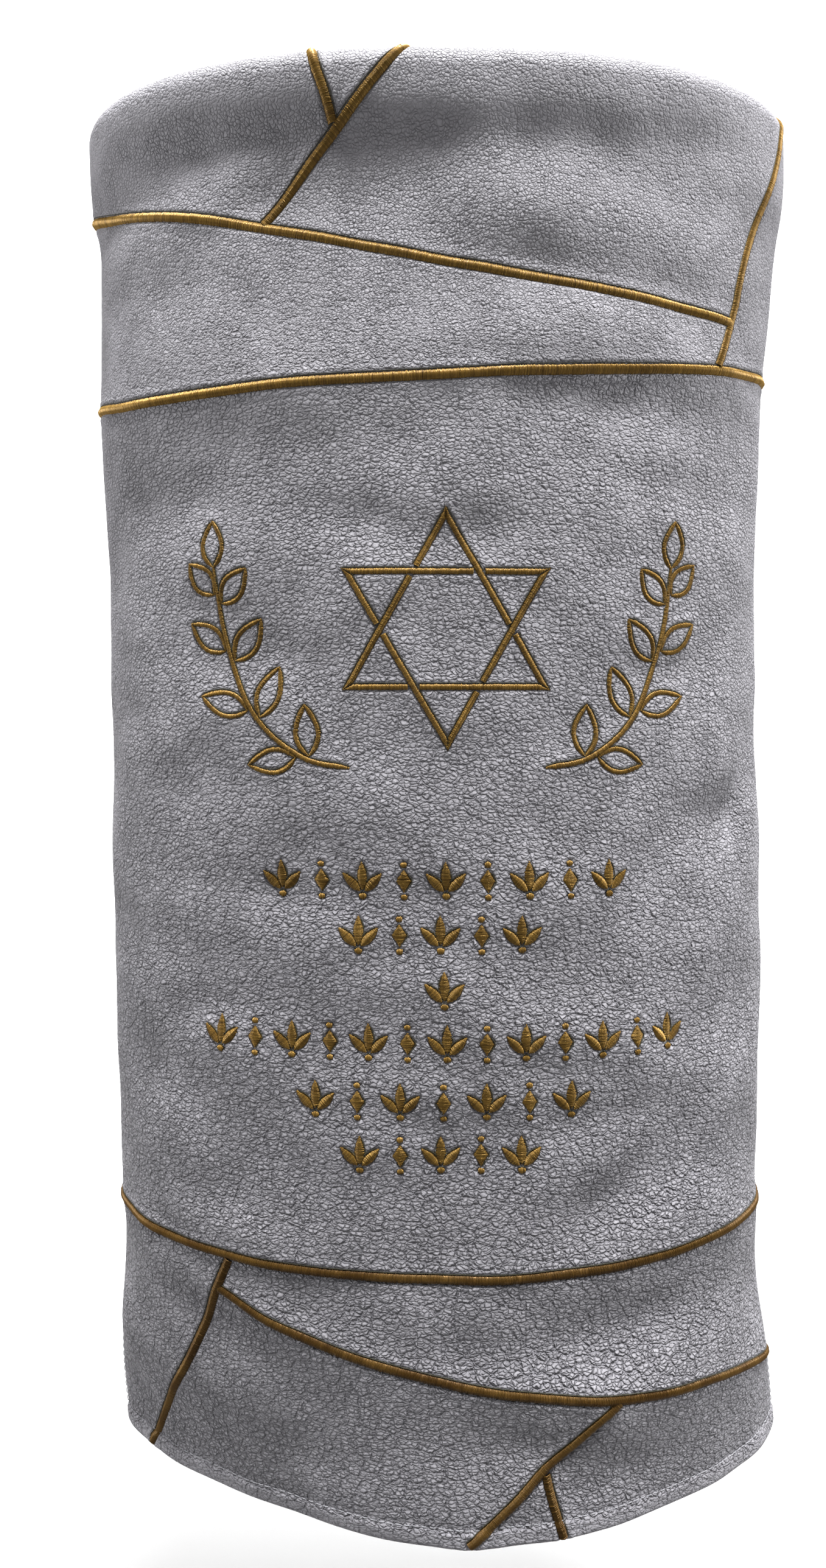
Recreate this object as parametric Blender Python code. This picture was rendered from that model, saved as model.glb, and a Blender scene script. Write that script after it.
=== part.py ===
"""Torah mantle: two leather panels hanging from a stiff oval top, with stitched gold bands.

Metres, +Z up. The origin is the middle of the underside of the oval top board, which is
where the cover is carried. The front faces -Y. Lengths in the tables are in millimetres,
and heights there are counted up from the hem.
"""
import math
from collections import namedtuple
from functools import lru_cache

import bmesh
import bpy
import numpy as np
from mathutils import Vector
from mathutils.bvhtree import BVHTree

MM = 0.001

# Driving sizes, in millimetres.
BOARD_LEVEL = 689.0
RIM_RADIUS = 11.0
LIP_WIDTH = 6.0
LEATHER = 2.0
GAP = 0.3
SEAM_GAP = 0.4

# Rim, holes for the two roller handles, and the band of gold satin stitch.
HANDLE_SPACING = 170.0
HANDLE_RADIUS = 24.0
HOLE_SIDES = 28
HOLE_CUT_DEPTH = 60.0
BAND_WIDTH = 4.8
BAND_CROWN = 1.1
BAND_SHOULDER = 0.75
SHOULDER_SHARE = 0.7
BAND_STEP = 8.0
BAND_LIFT = 0.5
CURVE_SAMPLES = 24
RAY_START = 20.0

# Rings of a band lie closer where the leather bends tightly: near the seams by one share,
# and on the rim and the hem by the other.
TIGHT_ACROSS = 150.0
TIGHT_SIDE_SHARE = 1.5
TIGHT_ROLL_SHARE = 5.0

# Rolled hem: how high it is, the slope above it, and how far it stands out and in.
HEM_HEIGHT = 8.0
HEM_SLOPE = 5.0
HEM_OUT = 1.1
HEM_IN = 1.3

# Grid of each panel: columns across, rows up the wall, steps round the rim.
FRONT_COLUMNS = 36
BACK_COLUMNS = 24
FRONT_ROWS = 40
BACK_ROWS = 20
RIM_STEPS = 4
PLAN_SAMPLES = 361
SEAM_CROWDING = 0.45

FRONT = -1
BACK = 1

# Level sections of the wall. A section is an oval: centre_x and half_width along X, the
# depths of its two faces along Y, and two exponents (2 and 2 give an ellipse). Lean is the
# share by which the oval is turned: the front is deeper on the right by that much.
Station = namedtuple(
    "Station",
    "height centre_x half_width front_depth back_depth side_round face_round lean")
STATIONS = (
    Station(0, 9.5, 181.0, 112.0, 108.0, 1.65, 1.45, 0.14),
    Station(35, 6.5, 181.0, 111.5, 107.0, 1.72, 1.60, 0.12),
    Station(60, 4.5, 179.0, 111.0, 106.0, 1.90, 1.80, 0.10),
    Station(90, 3.0, 175.5, 110.0, 105.0, 2.00, 1.95, 0.07),
    Station(180, 2.2, 175.2, 108.0, 104.0, 2.05, 2.00, 0.02),
    Station(300, 0.7, 175.5, 105.5, 102.0, 2.10, 2.00, 0.0),
    Station(415, -1.5, 172.3, 103.0, 100.0, 2.15, 2.00, 0.0),
    Station(490, -2.0, 172.3, 101.5, 98.5, 2.20, 2.00, 0.0),
    Station(550, -3.0, 174.5, 99.5, 97.0, 2.25, 2.00, 0.0),
    Station(605, -0.5, 175.7, 98.5, 96.0, 2.30, 2.00, 0.0),
    Station(640, 0.8, 177.6, 98.0, 95.5, 2.30, 2.00, 0.0),
    Station(655, 0.6, 180.2, 98.2, 95.0, 2.30, 2.00, 0.0),
    Station(675, 0.3, 181.0, 99.0, 95.0, 2.30, 2.00, 0.0),
    Station(689, 0.0, 181.0, 99.5, 95.0, 2.30, 2.00, 0.0),
)

# Soft folds. Each is a long bump: its middle (across from the centre line, height), half
# its length and width, its tilt from level, and how far it stands out (minus is a trough).
Fold = namedtuple("Fold", "across height half_length half_width tilt rise")
FRONT_FOLDS = (
    Fold(-149, 646, 60, 14, 4, -2.5),
    Fold(-35, 607, 62, 24, 0, -4.0),
    Fold(94, 649, 70, 18, -8, -3.5),
    Fold(60, 562, 95, 22, 3, 3.5),
    Fold(-85, 553, 50, 20, -6, 2.5),
    Fold(-119, 503, 52, 19, 12, -3.0),
    Fold(15, 540, 40, 16, 20, -2.0),
    Fold(-80, 428, 48, 16, -18, -3.0),
    Fold(-121, 393, 42, 15, 20, 2.5),
    Fold(-80, 349, 36, 15, 0, 1.8),
    Fold(127, 300, 55, 16, 78, -3.0),
    Fold(165, 352, 34, 13, 62, -2.5),
    Fold(80, 246, 44, 15, -6, 2.4),
    Fold(95, 175, 46, 15, 42, -3.2),
    Fold(0, 178, 38, 14, 5, -2.2),
    Fold(-120, 146, 38, 14, -8, 2.4),
    Fold(94, 108, 62, 15, -6, -3.4),
    Fold(-69, 98, 34, 12, -18, 2.2),
    Fold(57, 77, 64, 16, -10, 3.0),
)
BACK_FOLDS = (
    Fold(-60, 620, 70, 20, 8, -3.5),
    Fold(90, 560, 60, 20, -12, 3.0),
    Fold(-110, 430, 50, 18, 20, -3.0),
    Fold(40, 330, 70, 20, -15, 2.5),
    Fold(-70, 210, 60, 18, 10, -2.5),
    Fold(80, 120, 60, 18, -8, 3.0),
)
FOLD_EDGE_FADE = 30.0
FOLD_RIM_FADE = 32.0

# Side slits: where each starts above the hem, and how far its two edges part at the hem.
SLIT_TOP_LEFT = 85.0
SLIT_TOP_RIGHT = 55.0
SLIT_OPENING_FRONT = 3.5
SLIT_OPENING_BACK = 5.0
SLIT_EDGE_POWER = 6

# Gold bands: points along each, as distance across from the centre line and climb up the
# leather from the hem (past BOARD_LEVEL the climb goes on round the rim).
BANDS = {
    "band_upper_long": (
        (-218, 652.5), (-190, 645.5), (-158, 638.4), (-114.4, 629.1), (-59.8, 617.5),
        (0, 605.6), (54.9, 596.7), (104.6, 590.6), (148, 587.1)),
    "band_upper_second": (
        (-217, 556), (-190, 552), (-157.8, 548.2), (-104.7, 547.8), (-50, 550),
        (0, 552), (60, 555.4), (114.5, 559.7), (166.6, 564.8), (217, 570.5)),
    "band_rim_riser": (
        (200, 703), (193, 686), (186, 669), (175.5, 651), (166.5, 634),
        (159, 617), (155.5, 604), (154.5, 596), (151, 585), (142.8, 566.6)),
    "band_rim_short": (
        (-60, 703.5), (-56.5, 690), (-52.5, 678), (-50.1, 668.3)),
    "band_rim_diagonal": (
        (-15, 704), (-20, 694.5), (-33.9, 679), (-61.8, 649.8), (-81.8, 626.6)),
    "band_lower_long": (
        (-217, 136.5), (-180, 136), (-140, 134), (-80, 132.3), (0, 131.4),
        (59.6, 131.8), (108.7, 133.3), (156.2, 136.8), (217, 137.5)),
    "band_lower_second": (
        (-113, 113.5), (-90.7, 105.7), (-60.5, 96.7), (-20.1, 86.2), (20, 78.2),
        (59.4, 71.6), (98, 67.1), (145.6, 62.3), (186, 54.5), (217, 45.5)),
    "band_hem_left": (
        (-109.4, 128.7), (-117.7, 110.9), (-128.1, 89.2), (-141.6, 66.4),
        (-160.8, 39.6), (-179.5, 12)),
    "band_hem_right": (
        (80.4, 64.3), (72.9, 58.3), (59.4, 46.4), (42.7, 33.4), (25.9, 18.4), (10.1, 6)),
    "band_hem_short": (
        (46.4, 31.1), (48.1, 20.3), (51.1, 6.3)),
}

LEATHER_COLOUR = (0.42, 0.41, 0.45, 1.0)
BOARD_COLOUR = (0.35, 0.27, 0.18, 1.0)
GOLD_COLOUR = (0.34, 0.19, 0.035, 1.0)


def clear_scene():
    """Remove whatever objects the file starts with."""
    for old in list(bpy.data.objects):
        bpy.data.objects.remove(old, do_unlink=True)


def make_material(name, colour, roughness, metallic=0.0):
    """A plain Principled BSDF for one sub-part."""
    material = bpy.data.materials.new(name)
    material.use_nodes = True
    shader = material.node_tree.nodes["Principled BSDF"]
    shader.inputs["Base Color"].default_value = colour
    shader.inputs["Roughness"].default_value = roughness
    shader.inputs["Metallic"].default_value = metallic
    return material


def add_mesh_object(name, mesh_builder, material):
    """Turn a bmesh into a named, smooth-shaded object, and free the bmesh."""
    mesh = bpy.data.meshes.new(name)
    bmesh.ops.recalc_face_normals(mesh_builder, faces=mesh_builder.faces)
    mesh_builder.to_mesh(mesh)
    mesh_builder.free()
    mesh.shade_smooth()
    mesh.set_sharp_from_angle(angle=math.radians(40))
    mesh.materials.append(material)
    piece = bpy.data.objects.new(name, mesh)
    bpy.context.scene.collection.objects.link(piece)
    return piece


def station_values(height):
    """The wall's section at a height, by a smooth curve through STATIONS."""
    table = np.array(STATIONS)
    heights = table[:, 0]
    slopes = np.gradient(table, heights, axis=0)
    height = min(max(height, heights[0]), heights[-1])
    lower = min(int(np.searchsorted(heights, height, side="right")) - 1, len(heights) - 2)
    span = heights[lower + 1] - heights[lower]
    w = (height - heights[lower]) / span
    values = ((2 * w**3 - 3 * w**2 + 1) * table[lower]
              + (w**3 - 2 * w**2 + w) * span * slopes[lower]
              + (3 * w**2 - 2 * w**3) * table[lower + 1]
              + (w**3 - w**2) * span * slopes[lower + 1])
    return Station(*values)


@lru_cache(maxsize=None)
def plan_curve(side, height):
    """One panel's outline in plan: x, y and the distance along it from the centre line."""
    section = station_values(height)
    depth = section.front_depth if side == FRONT else section.back_depth
    reach = np.sin(np.linspace(-math.pi / 2, math.pi / 2, PLAN_SAMPLES))
    bulge = np.clip(1 - np.abs(reach)**section.side_round, 0, 1)**(1 / section.face_round)
    x = section.centre_x + section.half_width * reach
    y = side * depth * bulge * (1 - side * section.lean * reach)
    along = np.concatenate([[0], np.cumsum(np.hypot(np.diff(x), np.diff(y)))])
    return x, y, along - along[PLAN_SAMPLES // 2]


def half_length(side, height, across):
    """Distance along the outline from the centre line to the seam on that side."""
    along = plan_curve(side, height)[2]
    return along[-1] if across > 0 else -along[0]


def smooth_step(value):
    value = min(max(value, 0.0), 1.0)
    return value * value * (3 - 2 * value)


def fold_rise(side, across, height):
    """How far the soft folds push the wall out at a place."""
    total = 0.0
    for fold in FRONT_FOLDS if side == FRONT else BACK_FOLDS:
        tilt = math.radians(fold.tilt)
        dx = across - fold.across
        dz = height - fold.height
        length = (dx * math.cos(tilt) + dz * math.sin(tilt)) / fold.half_length
        width = (dz * math.cos(tilt) - dx * math.sin(tilt)) / fold.half_width
        total += fold.rise * math.exp(-length * length - width * width)
    to_seam = half_length(side, height, across) - abs(across)
    return total * smooth_step(to_seam / FOLD_EDGE_FADE) * smooth_step(
        (BOARD_LEVEL - height) / FOLD_RIM_FADE)


def slit_shift(side, across, height):
    """How far the panel's edge swings away from the seam line below a slit's top."""
    top = SLIT_TOP_LEFT if across < 0 else SLIT_TOP_RIGHT
    opening = SLIT_OPENING_FRONT if side == FRONT else SLIT_OPENING_BACK
    nearness = min(abs(across) / half_length(side, height, across), 1.0)
    return opening * smooth_step((top - height) / top) * nearness**SLIT_EDGE_POWER


def hem_share(height):
    """1 on the rolled hem, 0 on the wall above it, with a short slope between."""
    return smooth_step((HEM_HEIGHT + HEM_SLOPE - height) / HEM_SLOPE)


def leather_point(side, across, climb, inset=0.0):
    """A point of a panel's outer face, moved in by inset, in millimetres from the hem."""
    height = min(climb, BOARD_LEVEL)
    x_line, y_line, along = plan_curve(side, round(height, 3))
    step = along[1] - along[0]
    x, y = np.interp(across, along, x_line), np.interp(across, along, y_line)
    tangent_x = np.interp(across + step, along, x_line) - np.interp(across - step, along, x_line)
    tangent_y = np.interp(across + step, along, y_line) - np.interp(across - step, along, y_line)
    size = math.hypot(tangent_x, tangent_y)
    out_x, out_y = -side * tangent_y / size, side * tangent_x / size
    at_seam = abs(across) >= half_length(side, height, across) - 1e-6
    if at_seam:
        out_x, out_y = math.copysign(1.0, across), 0.0
    out = fold_rise(side, across, height) + HEM_OUT * hem_share(climb) - inset
    level = height
    if climb > BOARD_LEVEL:
        angle = min((climb - BOARD_LEVEL) / RIM_RADIUS, math.pi / 2)
        past = max(climb - BOARD_LEVEL - RIM_RADIUS * math.pi / 2, 0.0)
        out -= RIM_RADIUS * (1 - math.cos(angle)) + past
        level += RIM_RADIUS * math.sin(angle)
    y += side * slit_shift(side, across, height)
    y = side * max(side * (y + out_y * out), SEAM_GAP / 2)
    return Vector((x + out_x * out, y, level))


def to_row(point):
    """From millimetres above the hem to metres from the board's underside."""
    return Vector((point.x, point.y, point.z - BOARD_LEVEL)) * MM


def leather_frame(side, across, climb):
    """The outer face's point, outward normal and direction up the leather at a place."""
    step = 0.5
    limit = half_length(side, min(climb, BOARD_LEVEL), across) - step
    across = min(max(across, -limit), limit)
    middle = leather_point(side, across, climb)
    sideways = leather_point(side, across + step, climb) - leather_point(side, across - step, climb)
    upward = leather_point(side, across, climb + step) - leather_point(side, across, climb - step)
    normal = sideways.cross(upward).normalized() * -side
    return middle, normal, upward.normalized()


def panel_climbs(rows):
    """Climbs of a panel's rows: the rolled hem, the wall, the rim and its lip."""
    wall_start = HEM_HEIGHT + HEM_SLOPE
    hem = [0.0, HEM_HEIGHT / 2, HEM_HEIGHT, wall_start]
    wall = list(np.linspace(wall_start, BOARD_LEVEL, rows + 1))[1:]
    quarter = RIM_RADIUS * math.pi / 2
    rim = [BOARD_LEVEL + quarter * step / RIM_STEPS for step in range(1, RIM_STEPS + 1)]
    return hem + wall + rim + [BOARD_LEVEL + quarter + LIP_WIDTH]


def column_shares(columns):
    """Places of the columns across, closer together towards the tightly curved seams."""
    even = np.linspace(-1, 1, columns + 1)
    return (1 - SEAM_CROWDING) * even + SEAM_CROWDING * np.sin(even * math.pi / 2)


def inner_point(side, share, across, climb):
    """The point of the inner face behind an outer point."""
    thick = LEATHER + (HEM_OUT + HEM_IN) * hem_share(climb)
    if abs(share) == 1:
        slope = leather_point(side, across, climb + 1) - leather_point(side, across, climb - 1)
        normal = Vector((math.copysign(slope.z, share), 0, -math.copysign(1, share) * slope.x))
        return leather_point(side, across, climb) - normal.normalized() * thick
    middle, normal, _ = leather_frame(side, across, climb)
    inner = middle - normal * thick
    inner.y = side * max(side * inner.y, SEAM_GAP / 2)
    return inner


def build_panel(name, side, columns, rows, material):
    """One leather panel: wall, rolled hem and rolled rim, as a closed sheet."""
    builder = bmesh.new()
    climbs = panel_climbs(rows)
    shares = column_shares(columns)
    outer, inner = [], []
    for climb in climbs:
        height = min(climb, BOARD_LEVEL)
        outer_row, inner_row = [], []
        for share in shares:
            across = share * half_length(side, height, share)
            outer_row.append(builder.verts.new(to_row(leather_point(side, across, climb))))
            inner_row.append(builder.verts.new(to_row(inner_point(side, share, across, climb))))
        outer.append(outer_row)
        inner.append(inner_row)
    for grid in (outer, inner):
        for lower, upper in zip(grid, grid[1:]):
            for i in range(columns):
                builder.faces.new((lower[i], lower[i + 1], upper[i + 1]))
                builder.faces.new((lower[i], upper[i + 1], upper[i]))
    for row in (0, -1):
        for i in range(columns):
            builder.faces.new((outer[row][i], outer[row][i + 1], inner[row][i + 1], inner[row][i]))
    for column in (0, -1):
        for row in range(len(climbs) - 1):
            builder.faces.new((outer[row][column], outer[row + 1][column],
                               inner[row + 1][column], inner[row][column]))
    return add_mesh_object(name, builder, material)


def rim_loop(inset, level):
    """A closed level loop round the top, inside the panels' outer faces by inset."""
    points = []
    for side, columns in ((FRONT, FRONT_COLUMNS), (BACK, BACK_COLUMNS)):
        shares = column_shares(columns)[:-1] * -side
        for share in shares:
            across = share * half_length(side, BOARD_LEVEL, share)
            point = leather_point(side, across, BOARD_LEVEL, inset)
            if abs(share) == 1:
                point.y = 0.0
            point.z = level
            points.append(to_row(point))
    return points


def build_oval(name, layers, material):
    """A solid of level loops, each given as (inset, level), capped at both ends."""
    builder = bmesh.new()
    loops = [[builder.verts.new(p) for p in rim_loop(inset, level)] for inset, level in layers]
    for lower, upper in zip(loops, loops[1:]):
        for i in range(len(lower)):
            after = (i + 1) % len(lower)
            builder.faces.new((lower[i], lower[after], upper[after], upper[i]))
    builder.faces.new(loops[0])
    builder.faces.new(loops[-1])
    return add_mesh_object(name, builder, material)


def cut_handle_holes(piece):
    """Two round holes through the top, one for each roller handle."""
    for side in (-1, 1):
        builder = bmesh.new()
        bmesh.ops.create_cone(
            builder, cap_ends=True, segments=HOLE_SIDES, radius1=HANDLE_RADIUS * MM,
            radius2=HANDLE_RADIUS * MM, depth=HOLE_CUT_DEPTH * MM)
        mesh = bpy.data.meshes.new(f"{piece.name}_hole_{side}")
        builder.to_mesh(mesh)
        builder.free()
        cutter = bpy.data.objects.new(mesh.name, mesh)
        cutter.location = (side * HANDLE_SPACING / 2 * MM, 0, 0)
        cutter.hide_render = True
        cutter.display_type = "WIRE"
        bpy.context.scene.collection.objects.link(cutter)
        cut = piece.modifiers.new(cutter.name, "BOOLEAN")
        cut.operation = "DIFFERENCE"
        cut.object = cutter


def build_top_board(material):
    """Stiff oval board with a rounded upper edge, held inside the rolled rim."""
    lining = LEATHER + GAP
    radius = RIM_RADIUS - lining
    layers = []
    for step in range(RIM_STEPS + 1):
        angle = math.pi / 2 * step / RIM_STEPS
        layers.append((lining + radius * (1 - math.cos(angle)),
                       BOARD_LEVEL + radius * math.sin(angle)))
    board = build_oval("top_board", layers, material)
    cut_handle_holes(board)


def build_top_cover(material):
    """Leather oval on the board, inside the lip of the rolled rim."""
    inset = RIM_RADIUS + LIP_WIDTH + GAP
    top = BOARD_LEVEL + RIM_RADIUS
    cover = build_oval("top_cover", [(inset, top - LEATHER), (inset, top)], material)
    cut_handle_holes(cover)


def smooth_path(points, step):
    """Points on a Catmull-Rom curve through the given points.

    They are about one step apart, and closer where the leather bends more tightly.
    """
    ends = [2 * np.array(points[0]) - points[1]] + [np.array(p) for p in points]
    ends.append(2 * np.array(points[-1]) - points[-2])
    dense = []
    for a, b, c, d in zip(ends, ends[1:], ends[2:], ends[3:]):
        for w in np.linspace(0, 1, CURVE_SAMPLES, endpoint=False):
            dense.append(0.5 * (2 * b + (c - a) * w + (2 * a - 5 * b + 4 * c - d) * w**2
                                + (3 * b - a - 3 * c + d) * w**3))
    dense = np.array(dense + [ends[-2]])
    across, climb = (dense[1:] + dense[:-1]).T / 2
    closer = np.where(abs(across) > TIGHT_ACROSS, TIGHT_SIDE_SHARE, 1.0)
    closer[(climb > BOARD_LEVEL - HEM_HEIGHT) | (climb < 2 * HEM_HEIGHT)] = TIGHT_ROLL_SHARE
    run = np.concatenate([[0], np.cumsum(np.hypot(*np.diff(dense, axis=0).T) * closer)])
    marks = np.linspace(0, run[-1], max(3, math.ceil(run[-1] / step) + 1))
    return np.stack([np.interp(marks, run, dense[:, 0]), np.interp(marks, run, dense[:, 1])], 1)


def seat_on(tree, point, normal):
    """Move a point along the normal until it lies BAND_LIFT off the panel's facets."""
    start = point + normal * RAY_START * MM
    hit = tree.ray_cast(start, -normal)[0]
    return (hit if hit is not None else point) + normal * BAND_LIFT * MM


def build_band(name, points, tree, material):
    """One gold band: a low domed strip along its path on the front panel."""
    half = BAND_WIDTH / 2
    shoulder = half * SHOULDER_SHARE
    profile = ((-half, 0), (-shoulder, BAND_SHOULDER), (0, BAND_CROWN),
               (shoulder, BAND_SHOULDER), (half, 0))
    path = smooth_path(points, BAND_STEP)
    ahead = np.gradient(path, axis=0)
    builder = bmesh.new()
    rings = []
    for (across, climb), (run_across, run_up) in zip(path, ahead):
        middle, normal, upward = leather_frame(FRONT, across, climb)
        sideways = upward.cross(normal).normalized()
        run = (sideways * run_across + upward * run_up).normalized()
        cross = run.cross(normal).normalized()
        ring = []
        for offset, rise in profile:
            foot = seat_on(tree, to_row(middle + cross * offset), normal)
            ring.append(builder.verts.new(foot + normal * rise * MM))
        rings.append(ring)
    count = len(profile)
    for near, far in zip(rings, rings[1:]):
        for i in range(count):
            after = (i + 1) % count
            builder.faces.new((near[i], near[after], far[after], far[i]))
    builder.faces.new(rings[0])
    builder.faces.new(rings[-1])
    return add_mesh_object(name, builder, material)


def facets_of(piece):
    """A search tree of a piece's faces, for seating other pieces on it."""
    builder = bmesh.new()
    builder.from_mesh(piece.data)
    tree = BVHTree.FromBMesh(builder)
    builder.free()
    return tree


def main():
    clear_scene()
    front = build_panel("front_panel", FRONT, FRONT_COLUMNS, FRONT_ROWS,
                        make_material("front_leather", LEATHER_COLOUR, 0.55))
    build_panel("back_panel", BACK, BACK_COLUMNS, BACK_ROWS,
                make_material("back_leather", LEATHER_COLOUR, 0.55))
    build_top_board(make_material("board", BOARD_COLOUR, 0.8))
    build_top_cover(make_material("top_leather", LEATHER_COLOUR, 0.55))
    tree = facets_of(front)
    gold = make_material("gold_thread", GOLD_COLOUR, 0.4, 0.2)
    for name, points in BANDS.items():
        build_band(name, points, tree, gold)


main()
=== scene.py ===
# %% [markdown]
# # Dressing a leather torah mantle
# The mantle is a soft oval sleeve of pale, pebbled leather that hangs from a stiff oval
# top. Its front carries gold satin stitch: plain bands, an outlined star between two
# sprays of leaves, and rows of small filled ornaments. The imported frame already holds
# the leather, the board and the plain bands at their true size. This lesson makes the
# surfaces that show, and the finer needlework that the frame leaves out.
# Lengths are millimetres and heights count up from the hem; finishes and lights use
# metres, as Blender does.

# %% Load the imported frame
import math

import bmesh
import bpy
import numpy as np
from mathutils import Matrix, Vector
from mathutils.geometry import delaunay_2d_cdt
from mathutils.kdtree import KDTree


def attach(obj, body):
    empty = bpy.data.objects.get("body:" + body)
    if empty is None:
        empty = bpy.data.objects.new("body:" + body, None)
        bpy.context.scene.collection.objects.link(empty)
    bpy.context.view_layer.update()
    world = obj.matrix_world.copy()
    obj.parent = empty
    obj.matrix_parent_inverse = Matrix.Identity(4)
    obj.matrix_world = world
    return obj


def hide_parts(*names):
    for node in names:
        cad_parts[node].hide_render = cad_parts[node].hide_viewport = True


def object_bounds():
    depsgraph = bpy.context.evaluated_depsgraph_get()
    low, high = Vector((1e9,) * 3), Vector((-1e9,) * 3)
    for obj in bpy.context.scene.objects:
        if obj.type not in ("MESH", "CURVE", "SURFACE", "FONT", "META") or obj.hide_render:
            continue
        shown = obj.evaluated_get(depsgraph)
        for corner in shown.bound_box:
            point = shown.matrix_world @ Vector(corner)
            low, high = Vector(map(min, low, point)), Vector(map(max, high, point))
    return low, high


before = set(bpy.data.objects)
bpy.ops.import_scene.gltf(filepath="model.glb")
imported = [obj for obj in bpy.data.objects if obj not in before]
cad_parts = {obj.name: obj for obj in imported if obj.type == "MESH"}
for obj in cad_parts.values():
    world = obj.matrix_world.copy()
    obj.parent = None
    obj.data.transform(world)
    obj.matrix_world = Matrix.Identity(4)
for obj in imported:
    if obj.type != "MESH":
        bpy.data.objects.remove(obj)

cad_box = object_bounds()
MM = 0.001
FRONT, BACK = -1, 1
print("frame box in mm:", [[round(c / MM, 1) for c in corner] for corner in cad_box])

# %% [markdown]
# ## Camera
# The photograph looks straight at the front from close by, a little above half height,
# tilted four degrees down. A short lens that near makes the rim arch up and the hem
# curve down, which a long lens could not give. The frame is 1357 x 2576, so the long
# side is its height, and the lens follows from a focal length of 2000 of its pixels.

# %% Place the camera
PHOTO_HEIGHT_PX = 2576
FOCAL_PX = 2000
SENSOR_MM = 36.0
BOARD_LEVEL = 689.0
CAMERA_MM = (-12.0, -665.0, 405.0)
CAMERA_DOWN_DEG = 4.0

camera_data = bpy.data.cameras.new("camera")
camera_data.sensor_fit = "AUTO"
camera_data.sensor_width = SENSOR_MM
camera_data.lens = FOCAL_PX / PHOTO_HEIGHT_PX * SENSOR_MM
camera = bpy.data.objects.new("camera", camera_data)
camera.location = Vector((CAMERA_MM[0], CAMERA_MM[1], CAMERA_MM[2] - BOARD_LEVEL)) * MM
camera.rotation_euler = (math.radians(90 - CAMERA_DOWN_DEG), 0, 0)
bpy.context.scene.collection.objects.link(camera)
bpy.context.scene.camera = camera
print("lens in mm:", round(camera_data.lens, 2))

# %% [markdown]
# ## The hanging wall
# A maker thinks of the sleeve as two flat panels. Here a place on a panel is given as a
# maker would chalk it: how far *across* from the centre line and how far *up* the
# leather from the hem. Level sections of the oval turn such a place into a point in
# space. Each section is an oval with its own width, depth and roundness, and a smooth
# curve joins them. Towards the hem the oval is turned a little, so it is deeper in front
# on the right. The same few rows built the solids, so the skin lies where they do.

# %% Level sections of the wall
# Columns: height, centre_x, half_width, front_depth, back_depth, side_round, face_round, lean
SECTIONS = np.array((
    (0, 9.5, 181.0, 112.0, 108.0, 1.65, 1.45, 0.14),
    (35, 6.5, 181.0, 111.5, 107.0, 1.72, 1.60, 0.12),
    (60, 4.5, 179.0, 111.0, 106.0, 1.90, 1.80, 0.10),
    (90, 3.0, 175.5, 110.0, 105.0, 2.00, 1.95, 0.07),
    (180, 2.2, 175.2, 108.0, 104.0, 2.05, 2.00, 0.02),
    (300, 0.7, 175.5, 105.5, 102.0, 2.10, 2.00, 0.0),
    (415, -1.5, 172.3, 103.0, 100.0, 2.15, 2.00, 0.0),
    (490, -2.0, 172.3, 101.5, 98.5, 2.20, 2.00, 0.0),
    (550, -3.0, 174.5, 99.5, 97.0, 2.25, 2.00, 0.0),
    (605, -0.5, 175.7, 98.5, 96.0, 2.30, 2.00, 0.0),
    (640, 0.8, 177.6, 98.0, 95.5, 2.30, 2.00, 0.0),
    (655, 0.6, 180.2, 98.2, 95.0, 2.30, 2.00, 0.0),
    (675, 0.3, 181.0, 99.0, 95.0, 2.30, 2.00, 0.0),
    (689, 0.0, 181.0, 99.5, 95.0, 2.30, 2.00, 0.0)))
LEVELS = np.linspace(0, BOARD_LEVEL, 214)
SHARES = np.linspace(-1, 1, 201)
PLAN_POINTS = 721


def sections_at(levels):
    """One row of section values for each level, on a smooth curve through SECTIONS."""
    heights = SECTIONS[:, 0]
    slopes = np.gradient(SECTIONS, heights, axis=0)
    lower = np.clip(np.searchsorted(heights, levels, side="right") - 1, 0, len(heights) - 2)
    span = heights[lower + 1] - heights[lower]
    w = ((levels - heights[lower]) / span)[:, None]
    span = span[:, None]
    return ((2 * w**3 - 3 * w**2 + 1) * SECTIONS[lower]
            + (w**3 - 2 * w**2 + w) * span * slopes[lower]
            + (3 * w**2 - 2 * w**3) * SECTIONS[lower + 1]
            + (w**3 - w**2) * span * slopes[lower + 1])


def wall_table(side):
    """Plan points and outward directions of one panel on a grid of levels and shares."""
    reach = np.sin(np.linspace(-math.pi / 2, math.pi / 2, PLAN_POINTS))
    plan, lengths = [], []
    for section in sections_at(LEVELS):
        _, centre, half, front_depth, back_depth, side_round, face_round, lean = section
        depth = front_depth if side == FRONT else back_depth
        bulge = np.clip(1 - np.abs(reach)**side_round, 0, 1)**(1 / face_round)
        x = centre + half * reach
        y = side * depth * bulge * (1 - side * lean * reach)
        along = np.concatenate([[0], np.cumsum(np.hypot(np.diff(x), np.diff(y)))])
        along -= along[len(along) // 2]
        place = np.where(SHARES < 0, -SHARES * along[0], SHARES * along[-1])
        plan.append((np.interp(place, along, x), np.interp(place, along, y)))
        lengths.append((-along[0], along[-1]))
    plan = np.array(plan)
    tangent = np.gradient(plan, axis=2)
    tangent /= np.hypot(tangent[:, 0], tangent[:, 1])[:, None]
    outward = np.stack([-side * tangent[:, 1], side * tangent[:, 0]], 1)
    return np.concatenate([plan, outward], 1), np.array(lengths)


WALLS = {side: wall_table(side) for side in (FRONT, BACK)}
print("front panel's width at hem and rim:",
      [round(float(WALLS[FRONT][1][row].sum()), 1) for row in (0, -1)])

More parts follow.
